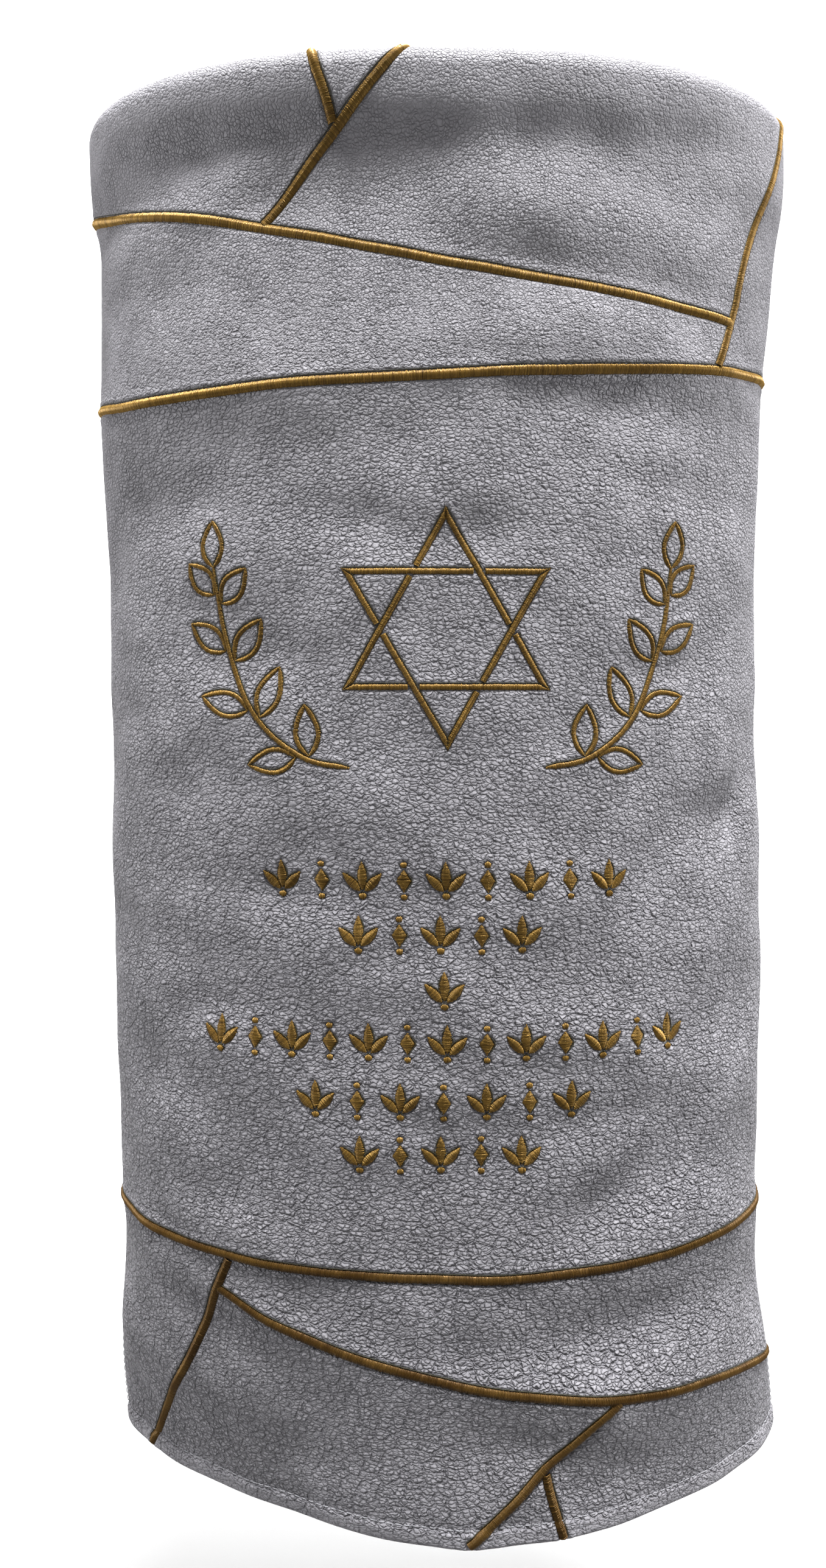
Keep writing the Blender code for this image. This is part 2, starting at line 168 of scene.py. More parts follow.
# %% [markdown]
# ## Folds
# Thick leather does not crease like cloth: it hangs with long, shallow dents. Each row
# is one dent or bulge, laid where the photograph shows a dark strip over a light
# one (a trough) or the reverse (a ridge). The first table holds the large ones, which
# the solids have too; the second adds smaller ones that only this skin shows. A cloth
# simulation would not put them where they are in the photograph. A faint random swell
# keeps the rest of the wall from looking machined; it is seeded, so every run agrees.

# %% Dents, bulges and the faint swell
# Columns: across, height, half_length, half_width, tilt in degrees, rise
FOLDS = {
    FRONT: (
        (-149, 646, 60, 14, 4, -2.5), (-35, 607, 62, 24, 0, -4.0), (94, 649, 70, 18, -8, -3.5),
        (60, 562, 95, 22, 3, 3.5), (-85, 553, 50, 20, -6, 2.5), (-119, 503, 52, 19, 12, -3.0),
        (15, 540, 40, 16, 20, -2.0), (-80, 428, 48, 16, -18, -3.0), (-121, 393, 42, 15, 20, 2.5),
        (-80, 349, 36, 15, 0, 1.8), (127, 300, 55, 16, 78, -3.0), (165, 352, 34, 13, 62, -2.5),
        (80, 246, 44, 15, -6, 2.4), (95, 175, 46, 15, 42, -3.2), (0, 178, 38, 14, 5, -2.2),
        (-120, 146, 38, 14, -8, 2.4), (94, 108, 62, 15, -6, -3.4), (-69, 98, 34, 12, -18, 2.2),
        (57, 77, 64, 16, -10, 3.0)),
    BACK: (
        (-60, 620, 70, 20, 8, -3.5), (90, 560, 60, 20, -12, 3.0), (-110, 430, 50, 18, 20, -3.0),
        (40, 330, 70, 20, -15, 2.5), (-70, 210, 60, 18, 10, -2.5), (80, 120, 60, 18, -8, 3.0)),
}
SMALL_FOLDS = {
    FRONT: (
        (-108, 664, 58, 17, 3, -6.0), (-30, 643, 48, 25, 8, -9.0), (62, 666, 46, 16, -4, -3.4),
        (128, 670, 34, 14, -6, -3.2), (-84, 636, 22, 12, 34, -3.6), (4, 622, 20, 16, 40, -2.4),
        (44, 628, 30, 12, 0, 1.6), (54, 600, 42, 12, -7, -4.0), (112, 598, 40, 12, -10, -1.6),
        (18, 562, 26, 9, 4, -1.6), (-104, 540, 55, 12, 2, 0.6), (98, 541, 52, 12, -2, -1.8),
        (18, 528, 18, 30, 0, 1.8), (-122, 512, 40, 14, 4, 0.8), (-35, 486, 28, 11, -10, -2.8),
        (22, 482, 26, 11, 16, -2.6), (118, 503, 34, 12, -12, -1.8), (-98, 434, 24, 12, 0, 1.4),
        (-30, 452, 26, 10, 30, 1.5), (46, 446, 26, 10, -40, -1.4), (112, 418, 38, 13, 4, -3.0),
        (-134, 412, 24, 12, 10, 1.6), (58, 390, 34, 12, 14, -2.4), (146, 346, 28, 13, 4, -4.4),
        (104, 324, 26, 12, 60, -2.4), (-70, 312, 32, 11, -6, -1.6), (20, 318, 30, 11, 4, -1.5),
        (-112, 256, 32, 11, 8, -1.8), (-30, 284, 34, 11, 8, -1.5), (112, 244, 46, 12, -6, -2.6),
        (86, 206, 36, 10, 4, -1.6), (-20, 208, 40, 11, -4, -1.6), (102, 166, 36, 15, 14, -4.4),
        (0, 192, 40, 13, 2, -2.0), (-96, 158, 38, 13, -10, -2.0), (88, 94, 46, 16, 6, -5.0),
        (14, 94, 40, 12, -2, -2.4), (-122, 98, 34, 13, -14, -2.6), (34, 44, 44, 15, -6, -3.4),
        (84, 26, 40, 13, 4, -3.0), (110, 2, 60, 20, 4, -3.2), (20, 0, 40, 14, 0, -1.6)),
    BACK: (),
}
FOLD_EDGE_FADE = 30.0
FOLD_RIM_FADE = 32.0
SWELL_WAVES = 26
SWELL_RISE = 0.16
SWELL_RANGE = (26, 95)
SWELL_USUAL = 60
SWELL_APART = 400
swell_dice = np.random.default_rng(11)
SWELL_LENGTHS = swell_dice.uniform(*SWELL_RANGE, SWELL_WAVES)
SWELL_TURNS = swell_dice.uniform(0, 2 * math.pi, (2, SWELL_WAVES))


def smooth_step(value):
    value = np.clip(value, 0, 1)
    return value * value * (3 - 2 * value)


def swell(across, height):
    """A faint random rise and fall, longer waves rising higher."""
    total = np.zeros_like(across)
    for length, turn, start in zip(SWELL_LENGTHS, *SWELL_TURNS):
        run = across * math.cos(turn) + height * math.sin(turn)
        total += SWELL_RISE * length / SWELL_USUAL * np.sin(2 * math.pi * run / length + start)
    return total


def fold_rise(side, across, height, to_seam):
    """How far the dents, bulges and swell push the leather out."""
    total = swell(across + SWELL_APART * side, height)
    for middle, level, half_length, half_width, tilt, rise in FOLDS[side] + SMALL_FOLDS[side]:
        turn = math.radians(tilt)
        dx, dz = across - middle, height - level
        length = (dx * math.cos(turn) + dz * math.sin(turn)) / half_length
        width = (dz * math.cos(turn) - dx * math.sin(turn)) / half_width
        total += rise * np.exp(-length * length - width * width)
    return total * smooth_step(to_seam / FOLD_EDGE_FADE) * smooth_step(
        (BOARD_LEVEL - height) / FOLD_RIM_FADE)


spots = np.array([spot[:2] for spot in FOLDS[FRONT]], float)
print("rise at the front's folds:",
      np.round(fold_rise(FRONT, spots[:, 0], spots[:, 1], np.full(len(spots), 90.0)), 1))

# %% [markdown]
# ## Edges that turn under
# No raw edge of the leather shows: the sides turn in at the seams and slits, the hem
# rolls up inside, and the upper edge rolls over the board and turns down at the top
# cover. One rule makes them all: past the start of a turn, the sheet runs round a half
# circle and then comes back behind itself.

# %% From a chalked place to a point in space
RIM_RADIUS = 11.0
LIP_WIDTH = 6.0
EDGE_ROUND = 1.3
SEAM_GAP = 0.4
HEM_HEIGHT = 8.0
HEM_SLOPE = 5.0
HEM_OUT = 1.1
HEM_ROUND = 2.2
HEM_CREASE = 10.0
HEM_CREASE_DEPTH = 0.8
HEM_CREASE_WIDTH = 1.6
SLIT_TOPS = {-1: 85.0, 1: 55.0}
SLIT_OPENINGS = {FRONT: 3.5, BACK: 5.0}
QUARTER = RIM_RADIUS * math.pi / 2
LIP_END = BOARD_LEVEL + QUARTER + LIP_WIDTH


def turned(over, radius):
    """Reach past a turn's start, and depth behind the face, for a sheet that turns under."""
    angle = np.clip(over / radius, 0, math.pi)
    back = np.maximum(over - math.pi * radius, 0)
    straight = np.minimum(over, 0)
    return straight + radius * np.sin(angle) - back, radius * (1 - np.cos(angle))


def look_up(table, row, column):
    """Values between the rows and columns of a table."""
    row = np.clip(row, 0, table.shape[0] - 1.0001)
    column = np.clip(column, 0, table.shape[-1] - 1.0001)
    i, j = row.astype(int), column.astype(int)
    p, q = (row - i)[:, None], (column - j)[:, None]
    return (table[i, :, j] * (1 - p) * (1 - q) + table[i + 1, :, j] * p * (1 - q)
            + table[i, :, j + 1] * (1 - p) * q + table[i + 1, :, j + 1] * p * q)


def half_lengths(side, height, across):
    """From the centre line to the seam, on the side where each place lies."""
    lengths = WALLS[side][1]
    return np.where(across < 0, np.interp(height, LEVELS, lengths[:, 0]),
                    np.interp(height, LEVELS, lengths[:, 1]))


def leather(side, across, climb, lift=0.0):
    """Points in millimetres for places across and up one panel, lifted off its face."""
    across, climb = np.asarray(across, float), np.asarray(climb, float)
    lip_reach, lip_drop = turned(climb - (LIP_END - EDGE_ROUND), EDGE_ROUND)
    hem_reach, hem_drop = turned(HEM_ROUND - climb, HEM_ROUND)
    climb = np.where(climb > LIP_END - EDGE_ROUND, LIP_END - EDGE_ROUND + lip_reach, climb)
    climb = np.where(climb < HEM_ROUND, HEM_ROUND - hem_reach, climb)
    height = np.clip(climb, 0, BOARD_LEVEL)
    half = half_lengths(side, height, across)
    edge_reach, edge_drop = turned(np.abs(across) - (half - EDGE_ROUND), EDGE_ROUND)
    across = np.sign(across) * (half - EDGE_ROUND + edge_reach)
    share = across / half
    plan = look_up(WALLS[side][0], height / BOARD_LEVEL * (len(LEVELS) - 1),
                   (share + 1) / 2 * (len(SHARES) - 1))
    x, y, out_x, out_y = plan.T
    out = fold_rise(side, across, height, half - np.abs(across))
    out += HEM_OUT * smooth_step((HEM_HEIGHT + HEM_SLOPE - climb) / HEM_SLOPE)
    out -= HEM_CREASE_DEPTH * np.exp(-((climb - HEM_CREASE) / HEM_CREASE_WIDTH)**2)
    out += lift - edge_drop - hem_drop - lip_drop
    angle = np.clip((climb - BOARD_LEVEL) / RIM_RADIUS, 0, math.pi / 2)
    past = np.maximum(climb - BOARD_LEVEL - QUARTER, 0)
    inset = RIM_RADIUS * (1 - np.cos(angle)) + past
    sideways = out * np.cos(angle) - inset
    slit_top = np.where(across < 0, SLIT_TOPS[-1], SLIT_TOPS[1])
    parted = SLIT_OPENINGS[side] * smooth_step((slit_top - height) / slit_top) * np.abs(share)**6
    y = y + out_y * sideways + side * parted
    y = side * np.maximum(side * y, SEAM_GAP / 2)
    z = height + RIM_RADIUS * np.sin(angle) + out * np.sin(angle)
    z += np.minimum(climb, 0)
    return np.stack([x + out_x * sideways, y, z], 1)


def to_row(points):
    """From millimetres above the hem to metres from the board's underside."""
    return (points - np.array((0, 0, BOARD_LEVEL))) * MM


def leather_frames(side, across, climb, lift=0.0):
    """Points with their outward, sideways and upward directions."""
    step = 0.4
    across = np.asarray(across, float)
    climb = np.asarray(climb, float)
    right = leather(side, across + step, climb, lift) - leather(side, across - step, climb, lift)
    above = leather(side, across, climb + step, lift) - leather(side, across, climb - step, lift)
    outward = np.cross(right, above) * -side
    unit = [v / np.linalg.norm(v, axis=1, keepdims=True) for v in (outward, right, above)]
    return (leather(side, across, climb, lift), *unit)


corner = to_row(leather(FRONT, [0.0], [BOARD_LEVEL + QUARTER]))[0]
print("top of the rim above the board's underside, mm:", round(corner[2] / MM, 2))

# %% [markdown]
# ## Chalking the gold lines
# Embroiderers chalk the line first and stitch over it. The bands here are plain stripes,
# so their marks follow the photograph. They are drawn as smooth curves through a few
# marks, because a stitching guide would be a smooth curve too. The same marks place the
# solid bands of the frame, and each stitched band takes the place of one of those. Where
# a band meets another, its stitching runs on a little under the neighbour.

# %% The ten bands
BAND_WIDTH = 4.8
CURVE_STEPS = 24
# Each band's chalk marks, across and up
BAND_MARKS = {
    "upper_long": ((-218, 652.5), (-190, 645.5), (-158, 638.4), (-114.4, 629.1), (-59.8, 617.5),
                   (0, 605.6), (54.9, 596.7), (104.6, 590.6), (148, 587.1)),
    "upper_second": ((-217, 556), (-190, 552), (-157.8, 548.2), (-104.7, 547.8), (-50, 550),
                     (0, 552), (60, 555.4), (114.5, 559.7), (166.6, 564.8), (217, 570.5)),
    "rim_riser": ((200, 703), (193, 686), (186, 669), (175.5, 651), (166.5, 634), (159, 617),
                  (155.5, 604), (154.5, 596), (151, 585), (142.8, 566.6)),
    "rim_short": ((-60, 703.5), (-56.5, 690), (-52.5, 678), (-50.1, 668.3)),
    "rim_diagonal": ((-15, 704), (-20, 694.5), (-33.9, 679), (-61.8, 649.8), (-81.8, 626.6)),
    "lower_long": ((-217, 136.5), (-180, 136), (-140, 134), (-80, 132.3), (0, 131.4),
                   (59.6, 131.8), (108.7, 133.3), (156.2, 136.8), (217, 137.5)),
    "lower_second": ((-113, 113.5), (-90.7, 105.7), (-60.5, 96.7), (-20.1, 86.2), (20, 78.2),
                     (59.4, 71.6), (98, 67.1), (145.6, 62.3), (186, 54.5), (217, 45.5)),
    "hem_left": ((-109.4, 128.7), (-117.7, 110.9), (-128.1, 89.2), (-141.6, 66.4),
                 (-160.8, 39.6), (-179.5, 12)),
    "hem_right": ((80.4, 64.3), (72.9, 58.3), (59.4, 46.4), (42.7, 33.4), (25.9, 18.4),
                  (10.1, 6)),
    "hem_short": ((46.4, 31.1), (48.1, 20.3), (51.1, 6.3)),
}


def smooth_path(marks, spacing):
    """Evenly spaced points on a smooth curve through the chalk marks."""
    marks = np.array(marks, float)
    ends = np.vstack([2 * marks[0] - marks[1], marks, 2 * marks[-1] - marks[-2]])
    w = np.linspace(0, 1, CURVE_STEPS, endpoint=False)[:, None]
    spans = [0.5 * (2 * b + (c - a) * w + (2 * a - 5 * b + 4 * c - d) * w**2
                    + (3 * b - a - 3 * c + d) * w**3)
             for a, b, c, d in zip(ends, ends[1:], ends[2:], ends[3:])]
    dense = np.vstack(spans + [marks[-1:]])
    run = np.concatenate([[0], np.cumsum(np.hypot(*np.diff(dense, axis=0).T))])
    stops = np.linspace(0, run[-1], max(4, round(run[-1] / spacing) + 1))
    return np.stack([np.interp(stops, run, dense[:, k]) for k in (0, 1)], 1)


def left_of(path):
    """Unit directions along a path and to its left."""
    ahead = np.gradient(path, axis=0)
    ahead /= np.linalg.norm(ahead, axis=1, keepdims=True)
    return ahead, np.stack([-ahead[:, 1], ahead[:, 0]], 1)


class Stroke:
    """One run of satin stitch: a path a thread apart, and each thread's two ends."""

    def __init__(self, path, low, high, rise):
        self.path = np.array(path, float)
        self.low = np.broadcast_to(np.asarray(low, float), len(path)).copy()
        self.high = np.broadcast_to(np.asarray(high, float), len(path)).copy()
        self.rise = rise


THREAD_PITCH = 0.48
BAND_RISE = 1.25
# How far each band's stitching runs on past its first and its last mark
RUN_ON = {"upper_long": (5, 1.5), "upper_second": (5, 5), "rim_riser": (4, 2.1),
          "rim_short": (4, 2.1), "rim_diagonal": (4, 2.1), "lower_long": (5, 5),
          "lower_second": (1.5, 5), "hem_left": (2.1, 11), "hem_right": (4.6, 5.5),
          "hem_short": (2.1, 4.5)}


def run_on(marks, before, after):
    """Chalk marks carried straight on at both ends, under a neighbour or round an edge."""
    marks = np.array(marks, float)
    first, last = marks[0] - marks[1], marks[-1] - marks[-2]
    start = marks[0] + first / np.linalg.norm(first) * before
    end = marks[-1] + last / np.linalg.norm(last) * after
    return np.vstack([start, marks, end])


strokes = {}
for name, marks in BAND_MARKS.items():
    path = smooth_path(run_on(marks, *RUN_ON[name]), THREAD_PITCH)
    strokes[name] = [Stroke(path, -BAND_WIDTH / 2, BAND_WIDTH / 2, BAND_RISE)]
print("threads in the bands:", sum(len(s[0].path) for s in strokes.values()))

# %% [markdown]
# ## The star and the leafy sprays
# The middle of the panel carries line work in a thinner satin stitch. Here it is a plain
# six-pointed star of two interlaced triangles between two sprays of outlined leaves: old,
# common ornament for this kind of cover. Where one triangle's side dives under another,
# the stitching simply stops short, as it would on a machine. At each point of the star
# the threads are cut along the line that halves the corner, so both sides meet cleanly.
# A leaf is two curved runs of stitch that thin out where they meet.

# %% Draw the star and the sprays
LINE_WIDTH = 3.0
LINE_RISE = 0.8
LINE_PITCH = 0.5
STAR_MIDDLE = np.array((5.0, 437.0))
STAR_RADIUS = 53.0
STAR_PASS_GAP = 2.9
MITRE = math.tan(math.radians(30))
END_CLEAR = 0.2


def star_side(start, end):
    """One side of a triangle, mitred at both corners and cut short where it passes under."""
    length = np.linalg.norm(end - start)
    ahead = (end - start) / length
    overrun = LINE_WIDTH / 2 / MITRE
    run = np.arange(-overrun + END_CLEAR, length + overrun - END_CLEAR, LINE_PITCH)
    inner = np.minimum(LINE_WIDTH / 2, np.minimum(run, length - run) * MITRE)
    path = start + ahead * run[:, None]
    pieces = [run < length / 3 - STAR_PASS_GAP, run > length / 3 + STAR_PASS_GAP]
    return [Stroke(path[keep], -LINE_WIDTH / 2, inner[keep], LINE_RISE) for keep in pieces]


star = []
for turned_over in (0, 1):
    angles = np.radians(90 + 180 * turned_over + 120 * np.arange(4))
    corners = STAR_MIDDLE + STAR_RADIUS * np.stack([np.cos(angles), np.sin(angles)], 1)
    for start, end in zip(corners, corners[1:]):
        star += star_side(start, end)


LEAF_HALF_WIDTH = 5.4
LEAF_RISE = LINE_RISE * 0.9
LEAF_BELLY = 0.85
# Half width of a leaf's line, at its ends and further in
LEAF_LINE = (0.35, 1.25)
LEAF_TAPER = 7
LEAF_SWELL = 0.7


def leaf_outline(foot, angle, length):
    """The two curved sides of one outlined leaf, thin where they meet."""
    share = np.linspace(0, 1, 9)
    bulge = LEAF_HALF_WIDTH * np.sin(math.pi * share**LEAF_BELLY)
    ahead = np.array((math.cos(angle), math.sin(angle)))
    left = np.array((-ahead[1], ahead[0]))
    sides = []
    for way in (-1, 1):
        marks = foot + ahead * (share * length)[:, None] + left * (way * bulge)[:, None]
        path = smooth_path(marks, LINE_PITCH)
        along = np.linspace(0, 1, len(path))
        swell_in = np.minimum(1, np.minimum(along, 1 - along) * LEAF_TAPER)**LEAF_SWELL
        half = LEAF_LINE[0] + (LEAF_LINE[1] - LEAF_LINE[0]) * swell_in
        sides.append(Stroke(path, -half, half, LEAF_RISE))
    return sides


# The stem's marks, across and up from the star's middle
SPRAY_STEM = ((46, -64), (66, -60), (86, -46), (100, -24), (108, 2), (112, 30))
# Shares of the stem's length, and its half width at each
STEM_WIDTHS = ((0, 0.04, 0.85, 1), (0.6, 1.4, 1.3, 0.8))
LEAF_ASIDE = 1.7
# Each leaf: share of the stem, turn from it in degrees, length
SPRAY_LEAVES = ((0.16, 62, 24), (0.20, -38, 24), (0.40, 58, 25), (0.45, -42, 25),
                (0.64, 54, 24), (0.69, -40, 23), (0.86, 48, 21), (0.90, -36, 20), (1.0, 4, 22))


def spray(mirror):
    """A curved stem with its leaves, on one side of the star."""
    flip = np.array((mirror, 1))
    stem = STAR_MIDDLE + smooth_path(SPRAY_STEM, LINE_PITCH) * flip
    half = np.interp(np.linspace(0, 1, len(stem)), *STEM_WIDTHS)
    drawn = [Stroke(stem, -half, half, LINE_RISE)]
    ahead, left = left_of(stem)
    for share, turn, length in SPRAY_LEAVES:
        i = min(int(share * len(stem)), len(stem) - 1)
        angle = math.atan2(ahead[i, 1], ahead[i, 0]) + math.radians(turn) * mirror
        side = 0 if share == 1 else math.copysign(LEAF_ASIDE, turn) * mirror
        drawn += leaf_outline(stem[i] + left[i] * side, angle, length)
    return drawn


strokes["star"] = star
strokes["sprays"] = spray(1) + spray(-1)
print("threads in the star and sprays:",
      sum(len(s.path) for part in ("star", "sprays") for s in strokes[part]))

# %% [markdown]
# ## Rows of small filled ornaments
# Below the star the cover has six centred rows of small filled figures. Their rows,
# heights and widths follow the photograph; the figures themselves are plain ornaments.
# Each is a run of satin stitch whose width swells and narrows: a leaf swells softly, a
# lozenge swells in straight lines, and a dot is as wide as a circle is.

# %% Draw the ornament rows
FILL_RISE = 0.75
FILL_LEAST = 0.3
FILL_BELLY = 0.8
FILL_FULLNESS = 0.8
# Columns: height, middle, figures, pitch
ORNAMENT_ROWS = ((320.5, 3, 9, 19.6), (295, 0, 5, 19.2), (269, 1.5, 1, 19.2),
                 (244, 2.5, 13, 18.6), (216, 0.5, 7, 20.4), (190.5, -1, 5, 19.2))
# Each part of a figure: aside, up, angle in degrees, length, width, shape
THREE_LEAVES = ((-5.3, -0.6, 134, 12.0, 4.9, "leaf"), (5.3, -0.6, 46, 12.0, 4.9, "leaf"),
                (0, 2.4, 90, 13.6, 5.2, "leaf"), (0, -7.2, 0, 3.6, 3.6, "dot"))
TALL_LOZENGE = ((0, 0, 90, 11.0, 8.0, "lozenge"), (0, 7.6, 0, 3.2, 3.2, "dot"),
                (0, -7.6, 0, 3.2, 3.2, "dot"))


def filled(x, z, angle_deg, length, width, shape):
    """One filled part of a figure: threads across a straight spine."""
    angle = math.radians(angle_deg)
    ahead = np.array((math.cos(angle), math.sin(angle)))
    run = np.arange(FILL_LEAST, length - END_CLEAR, LINE_PITCH) / length
    swells = {"leaf": np.sin(math.pi * run**FILL_BELLY)**FILL_FULLNESS,
              "lozenge": 1 - np.abs(2 * run - 1),
              "dot": np.sqrt(1 - (2 * run - 1)**2)}
    half = np.maximum(width / 2 * swells[shape], FILL_LEAST)
    path = np.array((x, z)) + ahead * ((run - 0.5) * length)[:, None]
    return Stroke(path, -half, half, FILL_RISE)


ornaments = []
for height, middle, figures, pitch in ORNAMENT_ROWS:
    for step in range(figures):
        x = middle + (step - (figures - 1) // 2) * pitch
        ornaments += [filled(x + aside, height + up, *part)
                      for aside, up, *part in (THREE_LEAVES, TALL_LOZENGE)[step % 2]]
strokes["ornaments"] = ornaments
print("ornament figures:", len(ornaments), "threads:", sum(len(s.path) for s in ornaments))

# %% [markdown]
# ## The leather skin
# Satin stitch pulls thick leather down into a groove and squeezes up a soft lip beside
# it, which is what makes the gold lines look sunk in. That relief is real shape here.
# A search tree of all the stitched lines gives each point of the skin its distance to
# the nearest thread end, and the mesh is cut finer only near the lines.

# %% Groove and lip beside the stitching
GROOVE_DEPTH = 0.5
LIP_RISE = 0.34
LIP_AWAY = 1.7
LIP_SPREAD = 1.5
GROOVE_EDGE = 0.7
GROOVE_SLOPE = 1.1
SCAN_STEP = 0.9

spots, spot_half = [], []
for run in strokes.values():
    for stroke in run:
        ahead, left = left_of(stroke.path)
        skip = max(1, round(SCAN_STEP / THREAD_PITCH))
        middle = (stroke.low + stroke.high) / 2
        spots.append((stroke.path + left * middle[:, None])[::skip])
        spot_half.append(((stroke.high - stroke.low) / 2)[::skip])
spots, spot_half = np.vstack(spots), np.concatenate(spot_half)
stitch_tree = KDTree(len(spots))
for index, (across, climb) in enumerate(spots):
    stitch_tree.insert((across, climb, 0), index)
stitch_tree.balance()


def to_stitching(chalk):
    """Distance from each chalked place to the edge of the nearest stitching."""
    away = np.empty(len(chalk))
    for i, (across, climb) in enumerate(chalk):
        _, index, distance = stitch_tree.find((across, climb, 0))
        away[i] = distance - spot_half[index]
    return away


def stitched_relief(away):
    """The groove under the threads and the lip beside them."""
    groove = smooth_step((GROOVE_EDGE - away) / GROOVE_SLOPE)
    lip = np.exp(-((away - LIP_AWAY) / LIP_SPREAD)**2) * (1 - groove)
    return LIP_RISE * lip - GROOVE_DEPTH * groove


print("relief at 0, 1, 2 and 6 mm:", np.round(stitched_relief(np.array((0.0, 1, 2, 6))), 2))

# %% [markdown]
# ## Cutting the two panels
# Each panel is one hide with turnings at both sides and along the hem. It is laid out
# flat first, as rows and columns on the cutting table, and then every point is bent onto
# the wall. So its flat size stays known, and the flat places serve later as the chart
# on which the grain is laid, without a stretch or a seam.

# %% Cut and shape the two panels
SIDE_ALLOWANCE = 9.0
HEM_ALLOWANCE = 12.0
LIP_TURN = 3.6
ALLOWANCE_ROWS = 4
HEM_TURN_STEP = 1.3
SIDE_TURN_STEP = 1.0
LIP_TURN_STEP = 0.9
HEM_ZONE = 16.0
HEM_ZONE_STEP = 1.4
RIM_ZONE = 4.0
RIM_ZONE_STEP = 2.4
SKIN_STEP = 3.6
FINE_REACHES = ((9.0, 3.4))


def spaced(start, end, step):
    """Even steps from start to end, both kept."""
    return np.linspace(start, end, max(2, round((end - start) / step) + 1))


def panel_rows():
    """Climb of every row: the turned-up hem, the wall, the rim and the turned-down lip."""
    fold = HEM_ROUND - math.pi * HEM_ROUND
    return np.concatenate([
        np.linspace(fold - HEM_ALLOWANCE, fold, ALLOWANCE_ROWS)[:-1],
        spaced(fold, HEM_ROUND, HEM_TURN_STEP)[:-1],
        spaced(HEM_ROUND, HEM_ZONE, HEM_ZONE_STEP)[:-1],
        spaced(HEM_ZONE, BOARD_LEVEL - RIM_ZONE, SKIN_STEP)[:-1],
        spaced(BOARD_LEVEL - RIM_ZONE, LIP_END - EDGE_ROUND, RIM_ZONE_STEP)[:-1],
        spaced(LIP_END - EDGE_ROUND, LIP_END - EDGE_ROUND + LIP_TURN, LIP_TURN_STEP)])


def panel_columns(side, climb):
    """Developed places across at one climb: wall, side folds and turned-in edges."""
    height = np.clip(climb, 0, BOARD_LEVEL)
    widest = WALLS[side][1].sum(axis=1).max()
    count = round(widest / SKIN_STEP)
    left, right = (np.interp(height, LEVELS, WALLS[side][1][:, k]) for k in (0, 1))
    turn = math.pi * EDGE_ROUND
    fold = np.concatenate([spaced(0, turn, SIDE_TURN_STEP)[1:],
                           turn + np.linspace(0, SIDE_ALLOWANCE, ALLOWANCE_ROWS)[1:]])
    inner = np.linspace(-(left - EDGE_ROUND), right - EDGE_ROUND, count + 1)
    return np.concatenate([-(left - EDGE_ROUND) - fold[::-1], inner, right - EDGE_ROUND + fold])


def flat_panel(side):
    """The panel as it lies on the cutting table, cut finer near the stitched lines."""
    rows = panel_rows()
    grid = [panel_columns(side, climb) for climb in rows]
    cut = bmesh.new()
    verts = [[cut.verts.new((across, climb, 0)) for across in places]
             for places, climb in zip(grid, rows)]
    for lower, upper in zip(verts, verts[1:]):
        for i in range(len(lower) - 1):
            quad = (lower[i], lower[i + 1], upper[i + 1], upper[i])
            cut.faces.new(quad if side == FRONT else quad[::-1])
    if side == FRONT:
        for reach in FINE_REACHES:
            middles = np.array([face.calc_center_median()[:2] for face in cut.faces])
            near = to_stitching(middles) < reach
            edges = dict.fromkeys(edge for face, wanted in zip(cut.faces, near) if wanted
                                  for edge in face.edges)
            bmesh.ops.subdivide_edges(cut, edges=list(edges), cuts=1, use_grid_fill=True,
                                      use_single_edge=True)
    return cut


def skin(name, side):
    """Bend a flat panel onto the hanging wall, with the stitched relief pressed in."""
    cut = flat_panel(side)
    chalk = np.array([vert.co[:2] for vert in cut.verts])
    lift = stitched_relief(to_stitching(chalk)) if side == FRONT else np.zeros(len(chalk))
    bent = to_row(leather(side, chalk[:, 0], chalk[:, 1], lift))
    for vert, place in zip(cut.verts, bent):
        vert.co = place
    cut.verts.index_update()
    mesh = bpy.data.meshes.new(name)
    cut.to_mesh(mesh)
    cut.free()
    chart = mesh.uv_layers.new(name="chalk")
    corners = np.empty(len(mesh.loops), np.int32)
    mesh.loops.foreach_get("vertex_index", corners)
    chart.data.foreach_set("uv", (chalk[corners] * MM).astype(np.float32).ravel())
    mesh.polygons.foreach_set("use_smooth", np.ones(len(mesh.polygons), bool))
    piece = bpy.data.objects.new(name, mesh)
    bpy.context.scene.collection.objects.link(piece)
    return piece


front_leather = skin("front_leather", FRONT)
back_leather = skin("back_leather", BACK)
for piece in (front_leather, back_leather):
    print(piece.name, "faces:", len(piece.data.polygons))

# %% [markdown]
# ## Threads
# Satin stitch is hundreds of threads side by side, each arching from one needle hole to
# the other. Here every thread is a real, thin, three-sided tube: smooth shading rounds
# it, and its own lift, slant and tone keep the row lively. The tone also falls towards
# the hem, where the gold is browner: that fall is painted shade. A plain padded strip lies
# beneath, as the first pass of a machine would, so no leather shows between threads.

# %% Lay the threads
THREAD_RADIUS = 0.29
THREAD_SHARES = np.array((0.0, 0.16, 0.5, 0.84, 1.0))
THREAD_ARCH = np.array((0.0, 0.60, 1.0, 0.60, 0.0))
THREAD_SINK = 0.62
THREAD_SIDES = np.radians((90.0, 210.0, 330.0))
THREAD_SLANT = 0.05
THREAD_OVERREACH = 0.10
THREAD_UNEVEN = 0.06
NARROW_RISE = 0.45
# Painted shade by height: tone dark below the first height, lighter from the second on
THREAD_SHADE_BY_HEIGHT = ((140.0, 185.0), (0.06, 0.62))
TONE_UNEVEN = 0.24
PADDING_STEP = 3
PADDING_UNDER = 0.12
PADDING_TONE = 0.1


